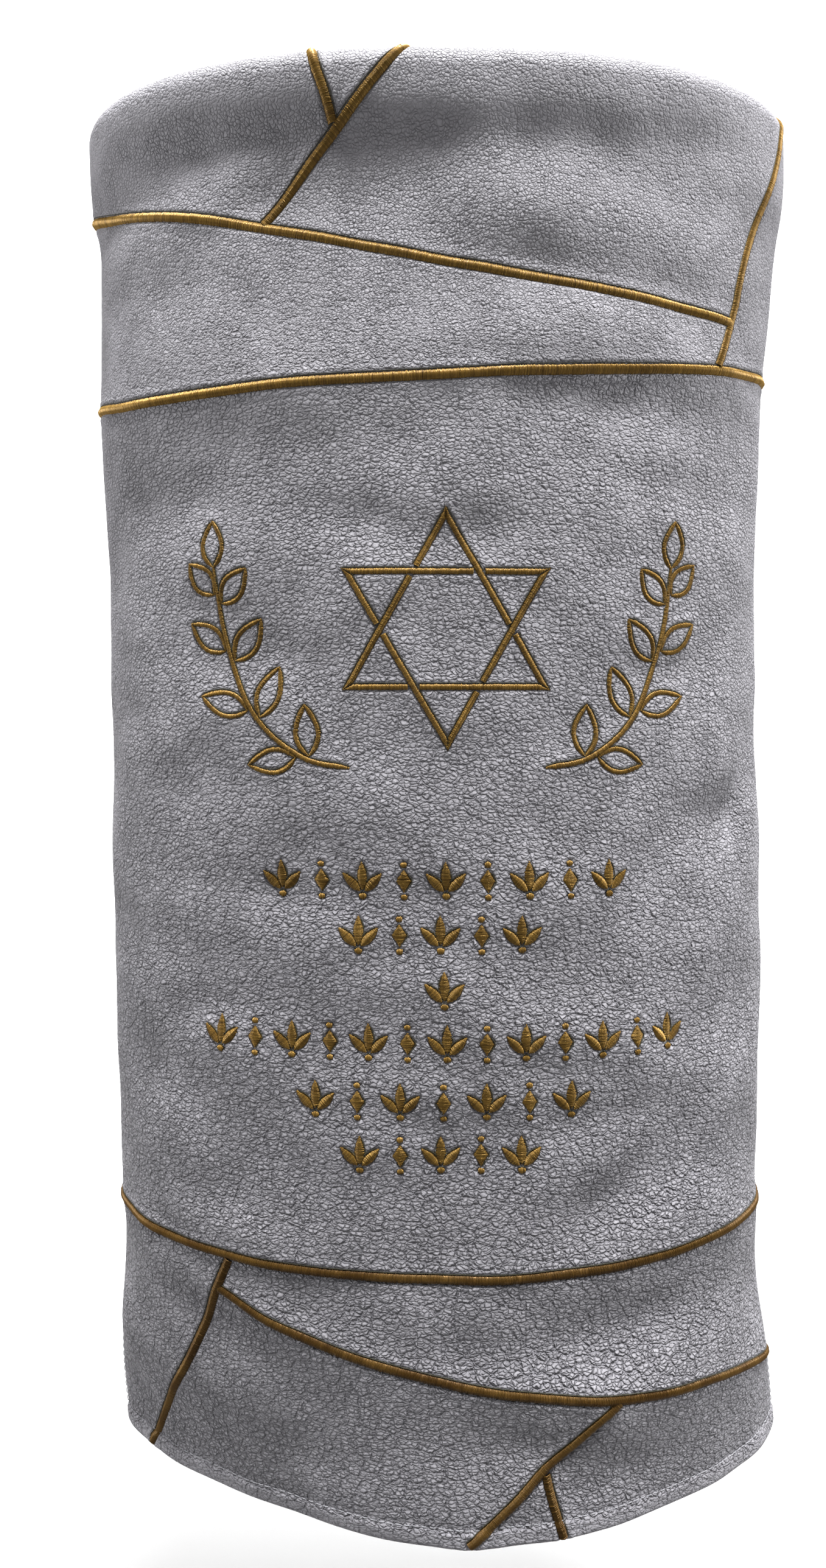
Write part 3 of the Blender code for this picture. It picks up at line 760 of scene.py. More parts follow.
class Bundle:
    """Vertices, faces and thread tones gathered for one mesh."""

    def __init__(self):
        self.verts, self.faces, self.tones, self.count = [], [], [], 0

    def add(self, verts, faces, tones):
        self.verts.append(verts)
        self.faces += (np.array(faces) + self.count).tolist()
        self.tones.append(np.broadcast_to(tones, len(verts)))
        self.count += len(verts)

    def piece(self, name):
        mesh = bpy.data.meshes.new(name)
        verts = to_row(np.vstack(self.verts))
        mesh.from_pydata(verts.tolist(), [], self.faces)
        tone = mesh.attributes.new("tone", "FLOAT", "POINT")
        tone.data.foreach_set("value", np.concatenate(self.tones).astype(np.float32))
        mesh.polygons.foreach_set("use_smooth", np.ones(len(mesh.polygons), bool))
        thing = bpy.data.objects.new(name, mesh)
        bpy.context.scene.collection.objects.link(thing)
        return thing


def tubes(points, outward, along, radius, tones):
    """Three-sided tubes; points is threads x stops x 3, and each thread is one tube."""
    threads, stops, _ = points.shape
    ring = [points + radius * (math.sin(turn) * outward + math.cos(turn) * along)
            for turn in THREAD_SIDES]
    verts = np.stack(ring, 2).reshape(-1, 3)
    sides = len(THREAD_SIDES)
    first = (np.arange(threads) * stops * sides)[:, None, None]
    stop = (np.arange(stops - 1) * sides)[None, :, None]
    side = np.arange(sides)[None, None, :]
    after = (side + 1) % sides
    base = first + stop
    quads = np.stack([base + side, base + after, base + sides + after, base + sides + side], 3)
    return verts, quads.reshape(-1, 4), np.repeat(tones, stops * sides)


def lay_threads(bundle, stroke, dice):
    """Every thread of one stroke, then the padding beneath them."""
    path, low, high = stroke.path, stroke.low, stroke.high
    if len(path) < 3:
        return
    ahead, left = left_of(path)
    count = len(path)
    slant = dice.normal(0, THREAD_SLANT, count)
    reach = THREAD_OVERREACH * dice.standard_normal((2, count))
    rise = stroke.rise * (1 + THREAD_UNEVEN * dice.standard_normal(count))
    rise = rise * np.clip((high - low) / LINE_WIDTH, NARROW_RISE, 1)
    ends = np.stack([low + reach[0], high + reach[1]], 1)
    across = ends[:, :1] + (ends[:, 1:] - ends[:, :1]) * THREAD_SHARES
    chalk = path[:, None] + left[:, None] * across[..., None]
    chalk += ahead[:, None] * (slant[:, None] * (THREAD_SHARES - 0.5) * 2)[..., None]
    lift = THREAD_ARCH * (rise[:, None] + THREAD_SINK) - THREAD_SINK
    flat = chalk.reshape(-1, 2)
    points, outward, right, above = leather_frames(FRONT, *flat.T, lift.ravel())
    run = np.repeat(ahead, len(THREAD_SHARES), axis=0)
    along = right * run[:, :1] + above * run[:, 1:]
    shape = (count, len(THREAD_SHARES), 3)
    # Painted shade: threads low on the panel get a darker tone
    tones = np.interp(path[:, 1], *THREAD_SHADE_BY_HEIGHT)
    tones = np.clip(tones * dice.normal(1, TONE_UNEVEN, count), 0, 1)
    bundle.add(*tubes(points.reshape(shape), outward.reshape(shape), along.reshape(shape),
                      THREAD_RADIUS, tones))
    keep = np.unique(np.append(np.arange(0, count, PADDING_STEP), count - 1))
    under = lift[keep] - PADDING_UNDER
    flat = chalk[keep].reshape(-1, 2)
    verts = leather(FRONT, flat[:, 0], flat[:, 1], under.ravel())
    stops = len(THREAD_SHARES)
    strip = [(i * stops + j, i * stops + j + 1, (i + 1) * stops + j + 1, (i + 1) * stops + j)
             for i in range(len(keep) - 1) for j in range(stops - 1)]
    bundle.add(verts, strip, PADDING_TONE)


thread_dice = np.random.default_rng(5)
stitched = {}
for name, run in strokes.items():
    bundle = Bundle()
    for stroke in run:
        lay_threads(bundle, stroke, thread_dice)
    stitched[name] = bundle.piece(name + "_threads")
    print(name, "faces:", len(stitched[name].data.polygons))

# %% [markdown]
# ## The dark line along each upper edge
# Where the needle goes in again and again, the upper edge of each gold line shows a
# hair-thin dark line: the side of the groove, in shade. A dark olive thread, laid along
# the edge that looks up, is that shade painted on a thread, and gives the line a true
# place in space.

# %% Dark thread beside the gold: painted shade
# The cord is painted shade: a dark thread where the groove's upper side lies in shade
CORD_RADIUS = 0.27
CORD_LIFT = 0.08
CORD_AWAY = 0.36
CORD_STEP = 3


def lay_shade_cord(bundle, stroke):
    """A thin dark cord, painted shade, along the edge of a stroke that looks up; gives back its
    length.
    """
    path = stroke.path[::CORD_STEP]
    if len(path) < 3:
        return 0.0
    ahead, left = left_of(path)
    edge = np.where(left[:, 1] > 0, stroke.high[::CORD_STEP] + CORD_AWAY,
                    stroke.low[::CORD_STEP] - CORD_AWAY)
    line = path + left * edge[:, None]
    points, outward, right, above = leather_frames(FRONT, *line.T, np.full(len(line), CORD_LIFT))
    side = right * left[:, :1] + above * left[:, 1:]
    bundle.add(*tubes(points[None], outward[None], side[None], CORD_RADIUS, np.array((0.5,))))
    return float(np.linalg.norm(np.diff(points, axis=0), axis=1).sum())


shade_cord_bundle = Bundle()
shade_cord_mm = sum(lay_shade_cord(shade_cord_bundle, stroke) for run in strokes.values() for stroke in run)
painted_shade_cords = shade_cord_bundle.piece("painted_shade_cords")
print("cord faces:", len(painted_shade_cords.data.polygons), "length in m:", round(shade_cord_mm * MM, 2))

# %% [markdown]
# ## Running stitches
# The hem, the slit edges and the rim's lip are sewn down with a plain grey running
# stitch. One helper lays single stitches along any chalked line, each a short arch that
# dips into the leather at both ends, as a machine's lockstitch does.

# %% Sew the hem, slits and rim
STITCH_PITCH = 4.2
STITCH_LENGTH = 3.2
STITCH_RADIUS = 0.27
STITCH_LIFT = 0.28
HEM_STITCH = 10.0
SLIT_STITCH_IN = 2.9
SLIT_STITCH_UP = 3.0
EDGE_MARKS = 12
RIM_STITCH_IN = 2.6
RIM_STITCH_REACH = 210.0
STITCH_SHARES = np.array((-0.5, -0.32, 0.0, 0.32, 0.5))
STITCH_ARCH = np.array((-0.45, 0.6, 1.0, 0.6, -0.45))


def running_stitch(bundle, side, line):
    """Single stitches along a chalked line on one panel."""
    path = smooth_path(line, STITCH_PITCH)
    ahead, left = left_of(path)
    chalk = path[:, None] + ahead[:, None] * (STITCH_SHARES * STITCH_LENGTH)[None, :, None]
    lift = np.broadcast_to(STITCH_ARCH * STITCH_LIFT, chalk.shape[:2])
    flat = chalk.reshape(-1, 2)
    points, outward, right, above = leather_frames(side, *flat.T, lift.ravel())
    turn = np.repeat(left, len(STITCH_SHARES), axis=0)
    across = right * turn[:, :1] + above * turn[:, 1:]
    shape = (*chalk.shape[:2], 3)
    bundle.add(*tubes(points.reshape(shape), outward.reshape(shape), across.reshape(shape),
                      STITCH_RADIUS, np.full(len(path), 0.5)))


def edge_line(side, way, start, end):
    """A chalked line just inside the side edge, from one height to another."""
    heights = np.linspace(start, end, EDGE_MARKS)
    half = half_lengths(side, heights, np.full(len(heights), float(way)))
    return np.stack([way * (half - SLIT_STITCH_IN), heights], 1)


seam_bundle = Bundle()
for side in (FRONT, BACK):
    ends = [half_lengths(side, np.array([HEM_STITCH]), np.array([way]))[0] for way in (-1.0, 1.0)]
    hem = np.linspace(-(ends[0] - SLIT_STITCH_IN), ends[1] - SLIT_STITCH_IN, 40)
    running_stitch(seam_bundle, side, np.stack([hem, np.full(len(hem), HEM_STITCH)], 1))
    rim = np.linspace(-RIM_STITCH_REACH, RIM_STITCH_REACH, 60)
    running_stitch(seam_bundle, side,
                   np.stack([rim, np.full(len(rim), LIP_END - RIM_STITCH_IN)], 1))
    for way, top in SLIT_TOPS.items():
        running_stitch(seam_bundle, side, edge_line(side, way, HEM_STITCH + SLIT_STITCH_UP, top))
edge_stitches = seam_bundle.piece("edge_stitches")
print("stitch faces:", len(edge_stitches.data.polygons))

# %% [markdown]
# ## The top
# A stiff board holds the oval open; the two round holes let the roller handles through.
# The photograph does not show it, so this is the usual make: leather glued over the
# board inside the rim, its edges turned down at the lip and in both holes. The flat is
# cut by a constrained triangulation, which keeps the oval and the holes as true edges.

# %% Cover the top
HANDLE_HOLES_MM = (-85.0, 85.0)
HANDLE_RADIUS = 24.0
TOP_LEVEL = BOARD_LEVEL + RIM_RADIUS
EASE = 0.5
COVER_INSET = RIM_RADIUS + LIP_WIDTH + EASE
COVER_LEVEL = TOP_LEVEL - 0.15
TURN_STEPS = 3
TOP_TURN = 0.8
TURN_DOWN = 0.9
OVAL_POINTS = 180
HOLE_POINTS = 64
TOP_STEP = 6.0
TOP_REACH = (170, 90)
CUT_EXACTNESS = 1e-6
WELD_DISTANCE = 0.00001
OVAL_CLEAR = 4.0
HOLE_CLEAR = 4.5
TOP_SWAY = 0.5
SWAY_FADE = 12.0


def rim_oval(inset):
    """A closed loop round the top, inside the wall by inset."""
    loop = []
    for side in (FRONT, BACK):
        table = WALLS[side][0][-1]
        keep = slice(None) if side == FRONT else slice(None, None, -1)
        x, y, out_x, out_y = (row[keep] for row in table)
        run = np.stack([x - out_x * inset, y - out_y * inset], 1)
        loop.append(run[:-1])
    loop = np.vstack(loop)
    closed = np.vstack([loop, loop[:1]])
    run = np.concatenate([[0], np.cumsum(np.hypot(*np.diff(closed, axis=0).T))])
    stops = np.linspace(0, run[-1], OVAL_POINTS, endpoint=False)
    return np.stack([np.interp(stops, run, closed[:, k]) for k in (0, 1)], 1)


def ring_round(x, radius):
    turn = np.linspace(0, 2 * math.pi, HOLE_POINTS, endpoint=False)
    return np.stack([x + radius * np.cos(turn), radius * np.sin(turn)], 1)


def top_outlines(turn):
    """The oval and the two holes with the edge turned down by turn of a quarter circle."""
    back = TOP_TURN * (1 - math.sin(turn))
    return [rim_oval(COVER_INSET + back)] + [ring_round(x, HANDLE_RADIUS + EASE + back)
                                             for x in HANDLE_HOLES_MM]


def inside(points, outline):
    """Which points lie inside a closed outline."""
    x, y = points.T
    a, b = outline, np.roll(outline, -1, axis=0)
    crosses = (a[:, 1][:, None] > y) != (b[:, 1][:, None] > y)
    rise = np.where(a[:, 1] == b[:, 1], 1, b[:, 1] - a[:, 1])[:, None]
    at = a[:, 0][:, None] + (y - a[:, 1][:, None]) * (b[:, 0] - a[:, 0])[:, None] / rise
    return (crosses & (x < at)).sum(axis=0) % 2 == 1


def cover_top():
    """Leather oval with two holes, its edges rounded down."""
    flat = top_outlines(0)
    grid = np.stack(np.meshgrid(*(np.arange(-reach, reach + 1, TOP_STEP) for reach in TOP_REACH)), 2)
    grid = grid.reshape(-1, 2)
    keep = inside(grid, rim_oval(COVER_INSET + OVAL_CLEAR))
    for x in HANDLE_HOLES_MM:
        keep &= np.hypot(grid[:, 0] - x, grid[:, 1]) > HANDLE_RADIUS + HOLE_CLEAR
    points = np.vstack(flat + [grid[keep]])
    edges, start = [], 0
    for outline in flat:
        count = len(outline)
        edges += [(start + i, start + (i + 1) % count) for i in range(count)]
        start += count
    cut = delaunay_2d_cdt([Vector(p) for p in points], edges, [], 0, CUT_EXACTNESS)
    places = np.array([tuple(v) for v in cut[0]])
    faces = [tuple(face) for face in cut[2]]
    middles = np.array([places[list(face)].mean(axis=0) for face in faces])
    kept = inside(middles, flat[0])
    for x in HANDLE_HOLES_MM:
        kept &= np.hypot(middles[:, 0] - x, middles[:, 1]) > HANDLE_RADIUS
    bundle = Bundle()
    used = sorted({v for face, wanted in zip(faces, kept) if wanted for v in face})
    renumber = {v: i for i, v in enumerate(used)}
    x, y = places[used].T
    to_hole = np.minimum.reduce([np.abs(np.hypot(x - middle, y) - HANDLE_RADIUS)
                                 for middle in HANDLE_HOLES_MM])
    level = COVER_LEVEL + swell(x, y) * TOP_SWAY * smooth_step(to_hole / SWAY_FADE)
    upward = [[renumber[v] for v in face] for face, wanted in zip(faces, kept) if wanted]
    bundle.add(np.column_stack([places[used], level]), upward, 0.5)
    return bundle


top_bundle = cover_top()
for which in range(3):
    loops = []
    for step in range(TURN_STEPS + 1):
        turn = math.pi / 2 * step / TURN_STEPS
        outline = top_outlines(turn)[which]
        drop = TOP_TURN * (1 - math.cos(turn))
        loops.append(np.column_stack([outline, np.full(len(outline), COVER_LEVEL - drop)]))
    loops.append(loops[-1] - np.array((0, 0, TURN_DOWN)))
    count = len(loops[0])
    faces = [(r * count + i, r * count + (i + 1) % count, (r + 1) * count + (i + 1) % count,
              (r + 1) * count + i) for r in range(len(loops) - 1) for i in range(count)]
    faces = faces if which else [face[::-1] for face in faces]
    top_bundle.add(np.vstack(loops), faces, 0.5)
top_leather = top_bundle.piece("top_leather")
shaped = bmesh.new()
shaped.from_mesh(top_leather.data)
bmesh.ops.remove_doubles(shaped, verts=shaped.verts, dist=WELD_DISTANCE)
bmesh.ops.recalc_face_normals(shaped, faces=shaped.faces)
if sum(face.normal.z for face in shaped.faces) < 0:
    bmesh.ops.reverse_faces(shaped, faces=shaped.faces)
shaped.to_mesh(top_leather.data)
shaped.free()
print("top leather faces:", len(top_leather.data.polygons))

# %% [markdown]
# ## Helpers for the finishes
# A finish in Blender is a tree of small steps, each taking numbers or the results of
# steps before it. Each helper below adds one kind of step, so that the finishes after
# them read like a recipe: a cloud, a range, a sum, a blend of two colours.

# %% Small helpers for finishes
def finish_nodes(name):
    """A fresh finish with its node tree and its surface."""
    finish = bpy.data.materials.new(name)
    finish.use_nodes = True
    tree = finish.node_tree
    return finish, tree, tree.nodes["Principled BSDF"]


def put(tree, kind, *links, settings=(), **sockets):
    """Add a node, set its properties and sockets, and link other sockets into it."""
    made = tree.nodes.new(kind)
    for key, value in settings:
        setattr(made, key, value)
    for key, value in sockets.items():
        made.inputs[key.replace("_", " ")].default_value = value
    for socket, source in links:
        tree.links.new(source, made.inputs[socket])
    return made


def maths(tree, operation, *values):
    """One arithmetic step on sockets or plain numbers."""
    made = tree.nodes.new("ShaderNodeMath")
    made.operation = operation
    for index, value in enumerate(values):
        if isinstance(value, (int, float)):
            made.inputs[index].default_value = value
        else:
            tree.links.new(value, made.inputs[index])
    return made.outputs[0]


def stretch_range(tree, value, low, high, to_low=0.0, to_high=1.0):
    """Smoothly carry a value from one range to another."""
    made = put(tree, "ShaderNodeMapRange", ("Value", value),
               settings=(("interpolation_type", "SMOOTHSTEP"),),
               From_Min=low, From_Max=high, To_Min=to_low, To_Max=to_high)
    return made.outputs[0]


def blend_colours(tree, share, first, second):
    """Mix two colours, each a plain colour or a socket."""
    # Inputs 6 and 7 of this node are its two colours, and output 2 is the mixed one
    made = tree.nodes.new("ShaderNodeMix")
    made.data_type = "RGBA"
    for index, value in ((6, first), (7, second)):
        if isinstance(value, tuple):
            made.inputs[index].default_value = (*value, 1)
        else:
            tree.links.new(value, made.inputs[index])
    tree.links.new(share, made.inputs[0])
    return made.outputs[2]


print("finish helpers ready")

# %% [markdown]
# ## The leather's finish
# The hide is a pale, slightly lilac grey with a raised pebble grain: rounded cells with
# dark creases between them, nearly round near the rim and drawn out sideways lower down.
# A cell pattern measured along the leather gives each pebble, and its distance to the
# cell's edge makes the crease. Longer creases, deeper towards the hem, part the pebbles
# into plates. The same value lowers a crease and darkens it as painted shade. The grain
# fades where the leather is stretched smooth over the rim and rolled at the hem. It is far
# too fine to be cut in the mesh, so it stays in the finish; all folds and grooves are real shape.

# %% Pebbled leather
LEATHER_COLOUR = (0.222, 0.216, 0.233)
# Painted shade: the leather's colour darkens towards this in the creases
PAINTED_CREASE_SHADE = (0.158, 0.153, 0.168)
GRAIN_DEPTH = 0.0014
PEBBLE = 1.7
PEBBLE_DRAWN = 1.6
PEBBLE_FLAT = 0.9
PEBBLE_RANDOM = 0.95
LAYER_SHIFTS = (3.7, 9.1)
PLATE = (7.5, 5.0)
PLATE_TURN = math.radians(12)
PLATE_CREASE = 0.15
CREASE_WIDTH = 0.22
CREASE_STEP = 0.55
DOME_TOP = 0.45
DOME_FALL = -0.55
WANDER = (0.0026, 0.0026, 0)
ROLLING = 0.7
LEATHER_ROUGHNESS = 0.66
LEATHER_SHINE = 0.27
# Each cloud: how many to a metre, and detail
CLOUDS = {"wander": (260.0, 2.0), "strength": (60.0, 2.0), "mottle": (22.0, 3.0),
          "rolling": (240.0, 3.0)}
CLOUD_MIDDLE = (0.25, 0.75)
STRENGTHS = (0.7, 1.25)
MOTTLES = (0.95, 1.05)
# Fades up the leather: from and to in metres above the hem, with the values there
ROUND_FADE = (0.50, 0.64, 0.0, 1.0)
PLATE_FADE = (0.60, 0.10, 0.3, 0.95)
STRENGTH_FADES = ((0.003, 0.012, 0.4, 1.0), (0.700, 0.56, 0.45, 1.0), (0.45, 0.15, 1.0, 1.25))


def pebbles(tree, chart, wide, tall, shift):
    """Height of one layer of pebbles: 0 in the creases, rounded on top."""
    placed = put(tree, "ShaderNodeMapping", ("Vector", chart),
                 Scale=(1 / (wide * MM), 1 / (tall * MM), 1), Location=(shift, shift, 0))
    cells = [put(tree, "ShaderNodeTexVoronoi", ("Vector", placed.outputs[0]),
                 settings=(("voronoi_dimensions", "2D"), ("feature", feature)),
                 Scale=1.0, Randomness=PEBBLE_RANDOM).outputs["Distance"]
             for feature in ("DISTANCE_TO_EDGE", "F1")]
    crease = maths(tree, "MULTIPLY", stretch_range(tree, cells[0], 0.0, CREASE_WIDTH), CREASE_STEP)
    hollow = maths(tree, "POWER", cells[1], 2.0)
    return maths(tree, "ADD", crease, maths(tree, "MULTIPLY_ADD", hollow, DOME_FALL, DOME_TOP))


def plate_creases(tree, chart):
    """1 along the long creases that part the pebbles into plates, 0 between them."""
    placed = put(tree, "ShaderNodeMapping", ("Vector", chart), Rotation=(0, 0, PLATE_TURN),
                 Scale=(1 / (PLATE[0] * MM), 1 / (PLATE[1] * MM), 1))
    edge = put(tree, "ShaderNodeTexVoronoi", ("Vector", placed.outputs[0]),
               settings=(("voronoi_dimensions", "2D"), ("feature", "DISTANCE_TO_EDGE")),
               Scale=1.0, Randomness=1.0).outputs["Distance"]
    return stretch_range(tree, edge, 0.0, PLATE_CREASE, 1.0, 0.0)


def leather_finish(name):
    """Pebbles, plates and a soft mottle, laid on the chalk chart."""
    finish, tree, surface = finish_nodes(name)
    chart = put(tree, "ShaderNodeUVMap", settings=(("uv_map", "chalk"),)).outputs[0]

    def cloud(kind):
        scale, detail = CLOUDS[kind]
        return put(tree, "ShaderNodeTexNoise", ("Vector", chart),
                   settings=(("noise_dimensions", "2D"),), Scale=scale, Detail=detail)

    moved = put(tree, "ShaderNodeVectorMath", ("Vector", cloud("wander").outputs["Color"]),
                settings=(("operation", "MULTIPLY_ADD"),))
    moved.inputs[1].default_value = WANDER
    tree.links.new(chart, moved.inputs[2])
    round_cells, drawn_cells = (
        pebbles(tree, moved.outputs[0], wide, tall, shift)
        for wide, tall, shift in ((PEBBLE, PEBBLE * PEBBLE_FLAT, LAYER_SHIFTS[0]),
                                  (PEBBLE * PEBBLE_DRAWN, PEBBLE, LAYER_SHIFTS[1])))
    climb = put(tree, "ShaderNodeSeparateXYZ", ("Vector", chart)).outputs["Y"]
    near_rim = stretch_range(tree, climb, *ROUND_FADE)
    grain = put(tree, "ShaderNodeMix", ("Factor", near_rim), settings=(("data_type", "FLOAT"),))
    tree.links.new(drawn_cells, grain.inputs[2])
    tree.links.new(round_cells, grain.inputs[3])
    strength = stretch_range(tree, cloud("strength").outputs[0], *CLOUD_MIDDLE, *STRENGTHS)
    for fade in STRENGTH_FADES:
        strength = maths(tree, "MULTIPLY", strength, stretch_range(tree, climb, *fade))
    parted = maths(tree, "MULTIPLY", plate_creases(tree, moved.outputs[0]),
                   stretch_range(tree, climb, *PLATE_FADE))
    crease = maths(tree, "SUBTRACT", 1.0, grain.outputs[0])
    crease = maths(tree, "MULTIPLY", maths(tree, "ADD", crease, parted), strength)
    # Painted shade: the crease value darkens the colour where the creases lie in shade
    colour = blend_colours(tree, crease, LEATHER_COLOUR, PAINTED_CREASE_SHADE)
    mottle = stretch_range(tree, cloud("mottle").outputs[0], *CLOUD_MIDDLE, *MOTTLES)
    toned = put(tree, "ShaderNodeVectorMath", ("Vector", colour),
                settings=(("operation", "SCALE"),))
    tree.links.new(mottle, toned.inputs["Scale"])
    tree.links.new(toned.outputs[0], surface.inputs["Base Color"])
    rolling = maths(tree, "MULTIPLY", cloud("rolling").outputs[0], strength)
    height = maths(tree, "MULTIPLY_ADD", rolling, ROLLING, maths(tree, "MULTIPLY", crease, -1.0))
    bump = put(tree, "ShaderNodeBump", ("Height", height), Strength=1.0, Distance=GRAIN_DEPTH)
    tree.links.new(bump.outputs[0], surface.inputs["Normal"])
    surface.inputs["Roughness"].default_value = LEATHER_ROUGHNESS
    surface.inputs["Specular IOR Level"].default_value = LEATHER_SHINE
    return finish


TOP_ON_CHART = 0.3
leather_skin = leather_finish("pale_pebbled_leather")
top_chart = top_leather.data.uv_layers.new(name="chalk")
for loop in top_leather.data.loops:
    place = top_leather.data.vertices[loop.vertex_index].co
    top_chart.data[loop.index].uv = (place.x, place.y + TOP_ON_CHART)
for piece in (front_leather, back_leather, top_leather):
    piece.data.materials.append(leather_skin)
print("leather on:", [piece.name for piece in (front_leather, back_leather, top_leather)])

# %% [markdown]
# ## Gold thread, cord, stitches and board
# The gold is a glossy embroidery thread: a warm ochre that turns pale straw where it
# catches the light and deep brown where it dips. Each thread has its own tone, with painted
# shade towards the hem, stored with its mesh, which mixes a darker and a lighter ochre. The
# cord that paints the shade along each upper edge is nearly black olive, the running
# stitches grey, and the board is plain pressed grey board.

# %% Gold and the plain finishes
GOLD_DARK = (0.050, 0.022, 0.003)
GOLD_LIGHT = (0.33, 0.195, 0.042)
GOLD_METAL = 0.45
GOLD_ROUGHNESS = 0.38
GOLD_SHINE = 0.35
GOLD_TONE_SHARE = 0.85
GOLD_DRIFT = 60.0
DRIFT_MIDDLE = (0.3, 0.7)
# Colour of the cord that paints the shade along each upper edge
GROOVE_SHADE_OLIVE = (0.030, 0.028, 0.012)
STITCH_GREY = (0.22, 0.22, 0.235)
BOARD_GREY = (0.33, 0.30, 0.25)


def gold_finish():
    """Glossy ochre thread, mixed by each thread's own tone, with its painted shade by height."""
    finish, tree, surface = finish_nodes("gold_satin_thread")
    tone = put(tree, "ShaderNodeAttribute", settings=(("attribute_name", "tone"),))
    place = put(tree, "ShaderNodeTexCoord").outputs["Object"]
    drift = put(tree, "ShaderNodeTexNoise", ("Vector", place), Scale=GOLD_DRIFT, Detail=2.0)
    share = maths(tree, "MULTIPLY_ADD", tone.outputs["Fac"], GOLD_TONE_SHARE,
                  stretch_range(tree, drift.outputs[0], *DRIFT_MIDDLE, 0.0, 1 - GOLD_TONE_SHARE))
    colour = blend_colours(tree, share, GOLD_DARK, GOLD_LIGHT)
    tree.links.new(colour, surface.inputs["Base Color"])
    surface.inputs["Metallic"].default_value = GOLD_METAL
    surface.inputs["Roughness"].default_value = GOLD_ROUGHNESS
    surface.inputs["Specular IOR Level"].default_value = GOLD_SHINE
    return finish


def plain_finish(name, colour, roughness, grain=0.0, scale=400.0, vary=0.2):
    """A matt finish with a little tone and height noise."""
    finish, tree, surface = finish_nodes(name)
    place = put(tree, "ShaderNodeTexCoord").outputs["Object"]
    noise = put(tree, "ShaderNodeTexNoise", ("Vector", place), Scale=scale, Detail=4.0)
    mixed = blend_colours(tree, noise.outputs[0], tuple(c * (1 - vary) for c in colour),
                          tuple(min(1, c * (1 + vary)) for c in colour))
    tree.links.new(mixed, surface.inputs["Base Color"])
    surface.inputs["Roughness"].default_value = roughness
    if grain:
        bump = put(tree, "ShaderNodeBump", ("Height", noise.outputs[0]), Strength=1.0,
                   Distance=grain)
        tree.links.new(bump.outputs[0], surface.inputs["Normal"])
    return finish


gold_thread = gold_finish()
# Painted shade: the dark cord along each upper edge
groove_shade_finish = plain_finish("painted_groove_shade", GROOVE_SHADE_OLIVE, roughness=0.7)
grey_thread = plain_finish("grey_sewing_thread", STITCH_GREY, roughness=0.65)
grey_board = plain_finish("pressed_grey_board", BOARD_GREY, roughness=0.85, grain=0.0002,
                          scale=900.0)
for piece in stitched.values():
    piece.data.materials.append(gold_thread)
painted_shade_cords.data.materials.append(groove_shade_finish)
edge_stitches.data.materials.append(grey_thread)
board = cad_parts["top_board"]
board.data.materials.clear()
board.data.materials.append(grey_board)
print("finishes:", [finish.name for finish in (gold_thread, groove_shade_finish, grey_thread, grey_board)])

# %% [markdown]
# ## Tie the pieces to the frame
# Every surface rides with the one fixed body, and one that has a solid takes its place.
# Both panels hang from the board, and their flat size is the widest girth plus both side
# turnings, by the height plus rim, lip and hem turning. The cover lies on the board, and
# its flat size is its own oval.

# %% Ride and replace
for piece in (front_leather, back_leather, top_leather, painted_shade_cords, edge_stitches,
              *stitched.values()):
    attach(piece, "root")
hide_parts("front_panel")
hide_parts("back_panel")
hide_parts("top_cover")
for name, piece in stitched.items():
    if name in BAND_MARKS:
        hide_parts("band_" + name)


oval = rim_oval(COVER_INSET)

# %% [markdown]
# ## Studio
# The photograph's ground is pure white. Here a floor of plain paper curves up into a
# backdrop, and the lights lift its grey until it comes out nearly white.
# A large soft light hangs high in front, a little to the right: it grazes the wall, so
# each dent shows as a dark strip over a light one. Two weak side lights, the right one
# stronger, keep the turning sides from going dark. The backdrop has a light of its own,
# with a narrowed beam, so it comes out white without lighting the floor before the
# mantle. Dim plain surroundings fill the shadows.

# %% Floor, backdrop and lights
FLOOR_BELOW = 0.22
STAGE_HALF = 8.0
STAGE_FRONT = -8.0
STAGE_BACK = 1.3
STAGE_CURVE = 0.8
STAGE_TOP = 3.2
PAPER_COLOUR = (0.16, 0.16, 0.16)
SURROUNDINGS = 0.27
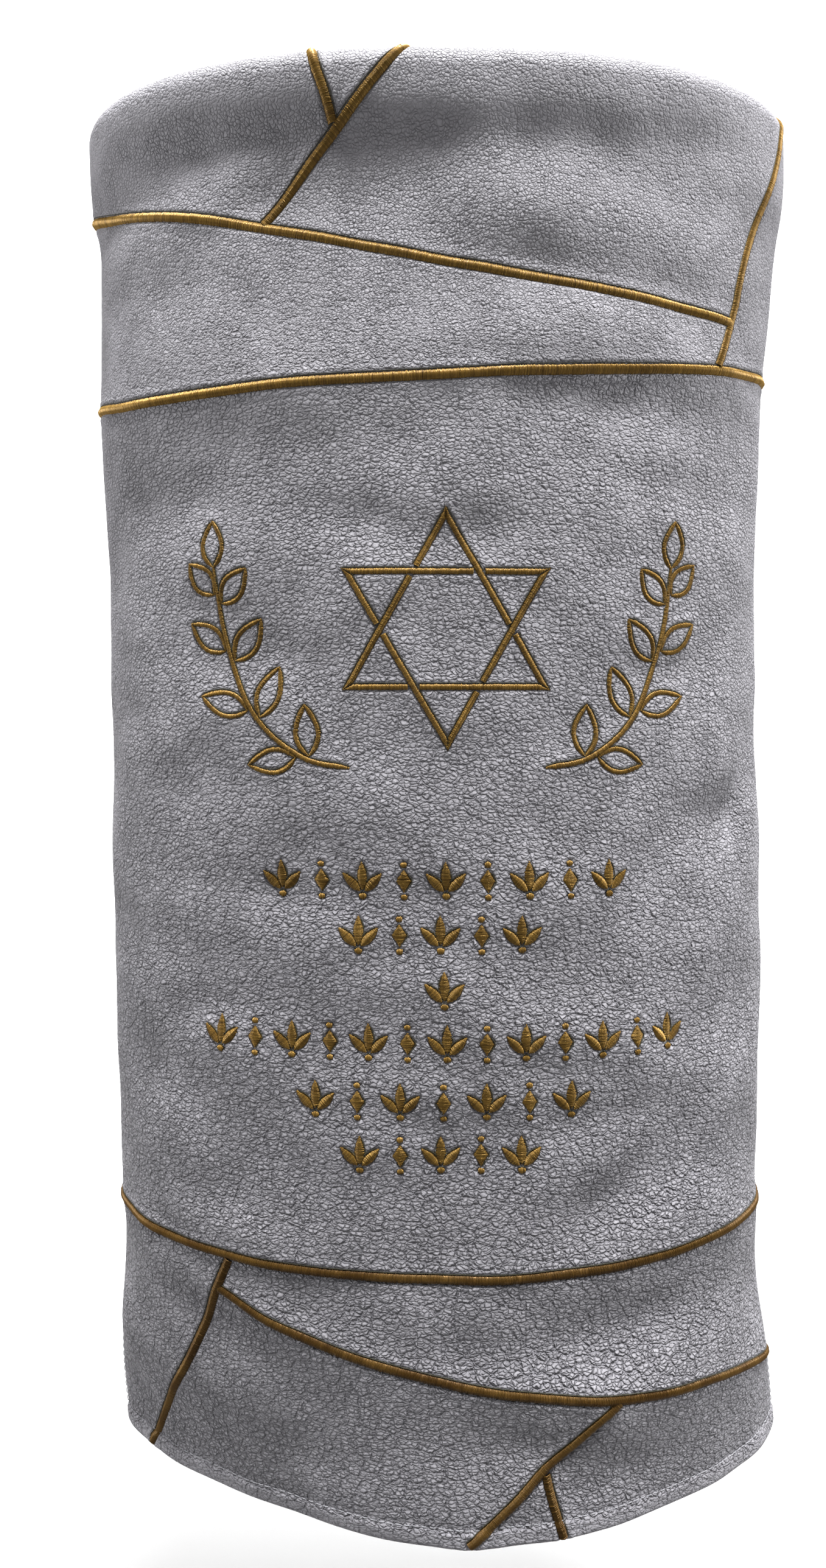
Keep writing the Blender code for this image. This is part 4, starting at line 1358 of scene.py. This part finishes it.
# Each light: name, place, aim, size, power, beam in degrees
LIGHTS = (
    ("high_front_light", (0.55, -1.80, 5.6), (0.0, -0.05, -0.30), 1.4, 1170.0, 180.0),
    ("right_light", (2.0, -0.20, 0.3), (0.1, 0.0, -0.40), 0.9, 50.0, 180.0),
    ("left_light", (-2.0, -0.25, 0.1), (-0.1, 0.0, -0.45), 0.9, 31.0, 180.0),
    ("backdrop_light", (0.0, 0.9, 1.6), (0.0, 2.1, -0.2), 2.5, 600.0, 100.0))


def build_stage():
    """One sheet of paper: floor, a curve, and an upright backdrop."""
    floor_z = cad_box[0][2] - FLOOR_BELOW
    profile = [(STAGE_FRONT, floor_z)]
    for turn in np.linspace(0, math.pi / 2, 17):
        profile.append((STAGE_BACK + STAGE_CURVE * math.sin(turn),
                        floor_z + STAGE_CURVE * (1 - math.cos(turn))))
    profile.append((STAGE_BACK + STAGE_CURVE, floor_z + STAGE_TOP))
    verts = [(x, y, z) for y, z in profile for x in (-STAGE_HALF, STAGE_HALF)]
    faces = [(2 * i, 2 * i + 1, 2 * i + 3, 2 * i + 2) for i in range(len(profile) - 1)]
    mesh = bpy.data.meshes.new("pale_stage")
    mesh.from_pydata(verts, [], faces)
    mesh.polygons.foreach_set("use_smooth", np.ones(len(faces), bool))
    stage = bpy.data.objects.new("pale_stage", mesh)
    bpy.context.scene.collection.objects.link(stage)
    mesh.materials.append(plain_finish("pale_paper", PAPER_COLOUR, roughness=0.9, scale=3.0,
                                       vary=0.02))
    return stage


def soft_light(name, place, aim, size, power, beam_deg):
    """A round area light that shines from a place towards an aim."""
    data = bpy.data.lights.new(name, "AREA")
    data.shape = "DISK"
    data.size = size
    data.energy = power
    data.spread = math.radians(beam_deg)
    light = bpy.data.objects.new(name, data)
    light.location = place
    light.rotation_euler = (Vector(aim) - Vector(place)).to_track_quat("-Z", "Y").to_euler()
    bpy.context.scene.collection.objects.link(light)


build_stage()
for row in LIGHTS:
    soft_light(*row)
surroundings = bpy.data.worlds.new("white_surroundings")
surroundings.use_nodes = True
surroundings.node_tree.nodes["Background"].inputs["Color"].default_value = (1, 1, 1, 1)
surroundings.node_tree.nodes["Background"].inputs["Strength"].default_value = SURROUNDINGS
bpy.context.scene.world = surroundings
bpy.context.scene.view_settings.view_transform = "Standard"
bpy.context.scene.view_settings.look = "None"
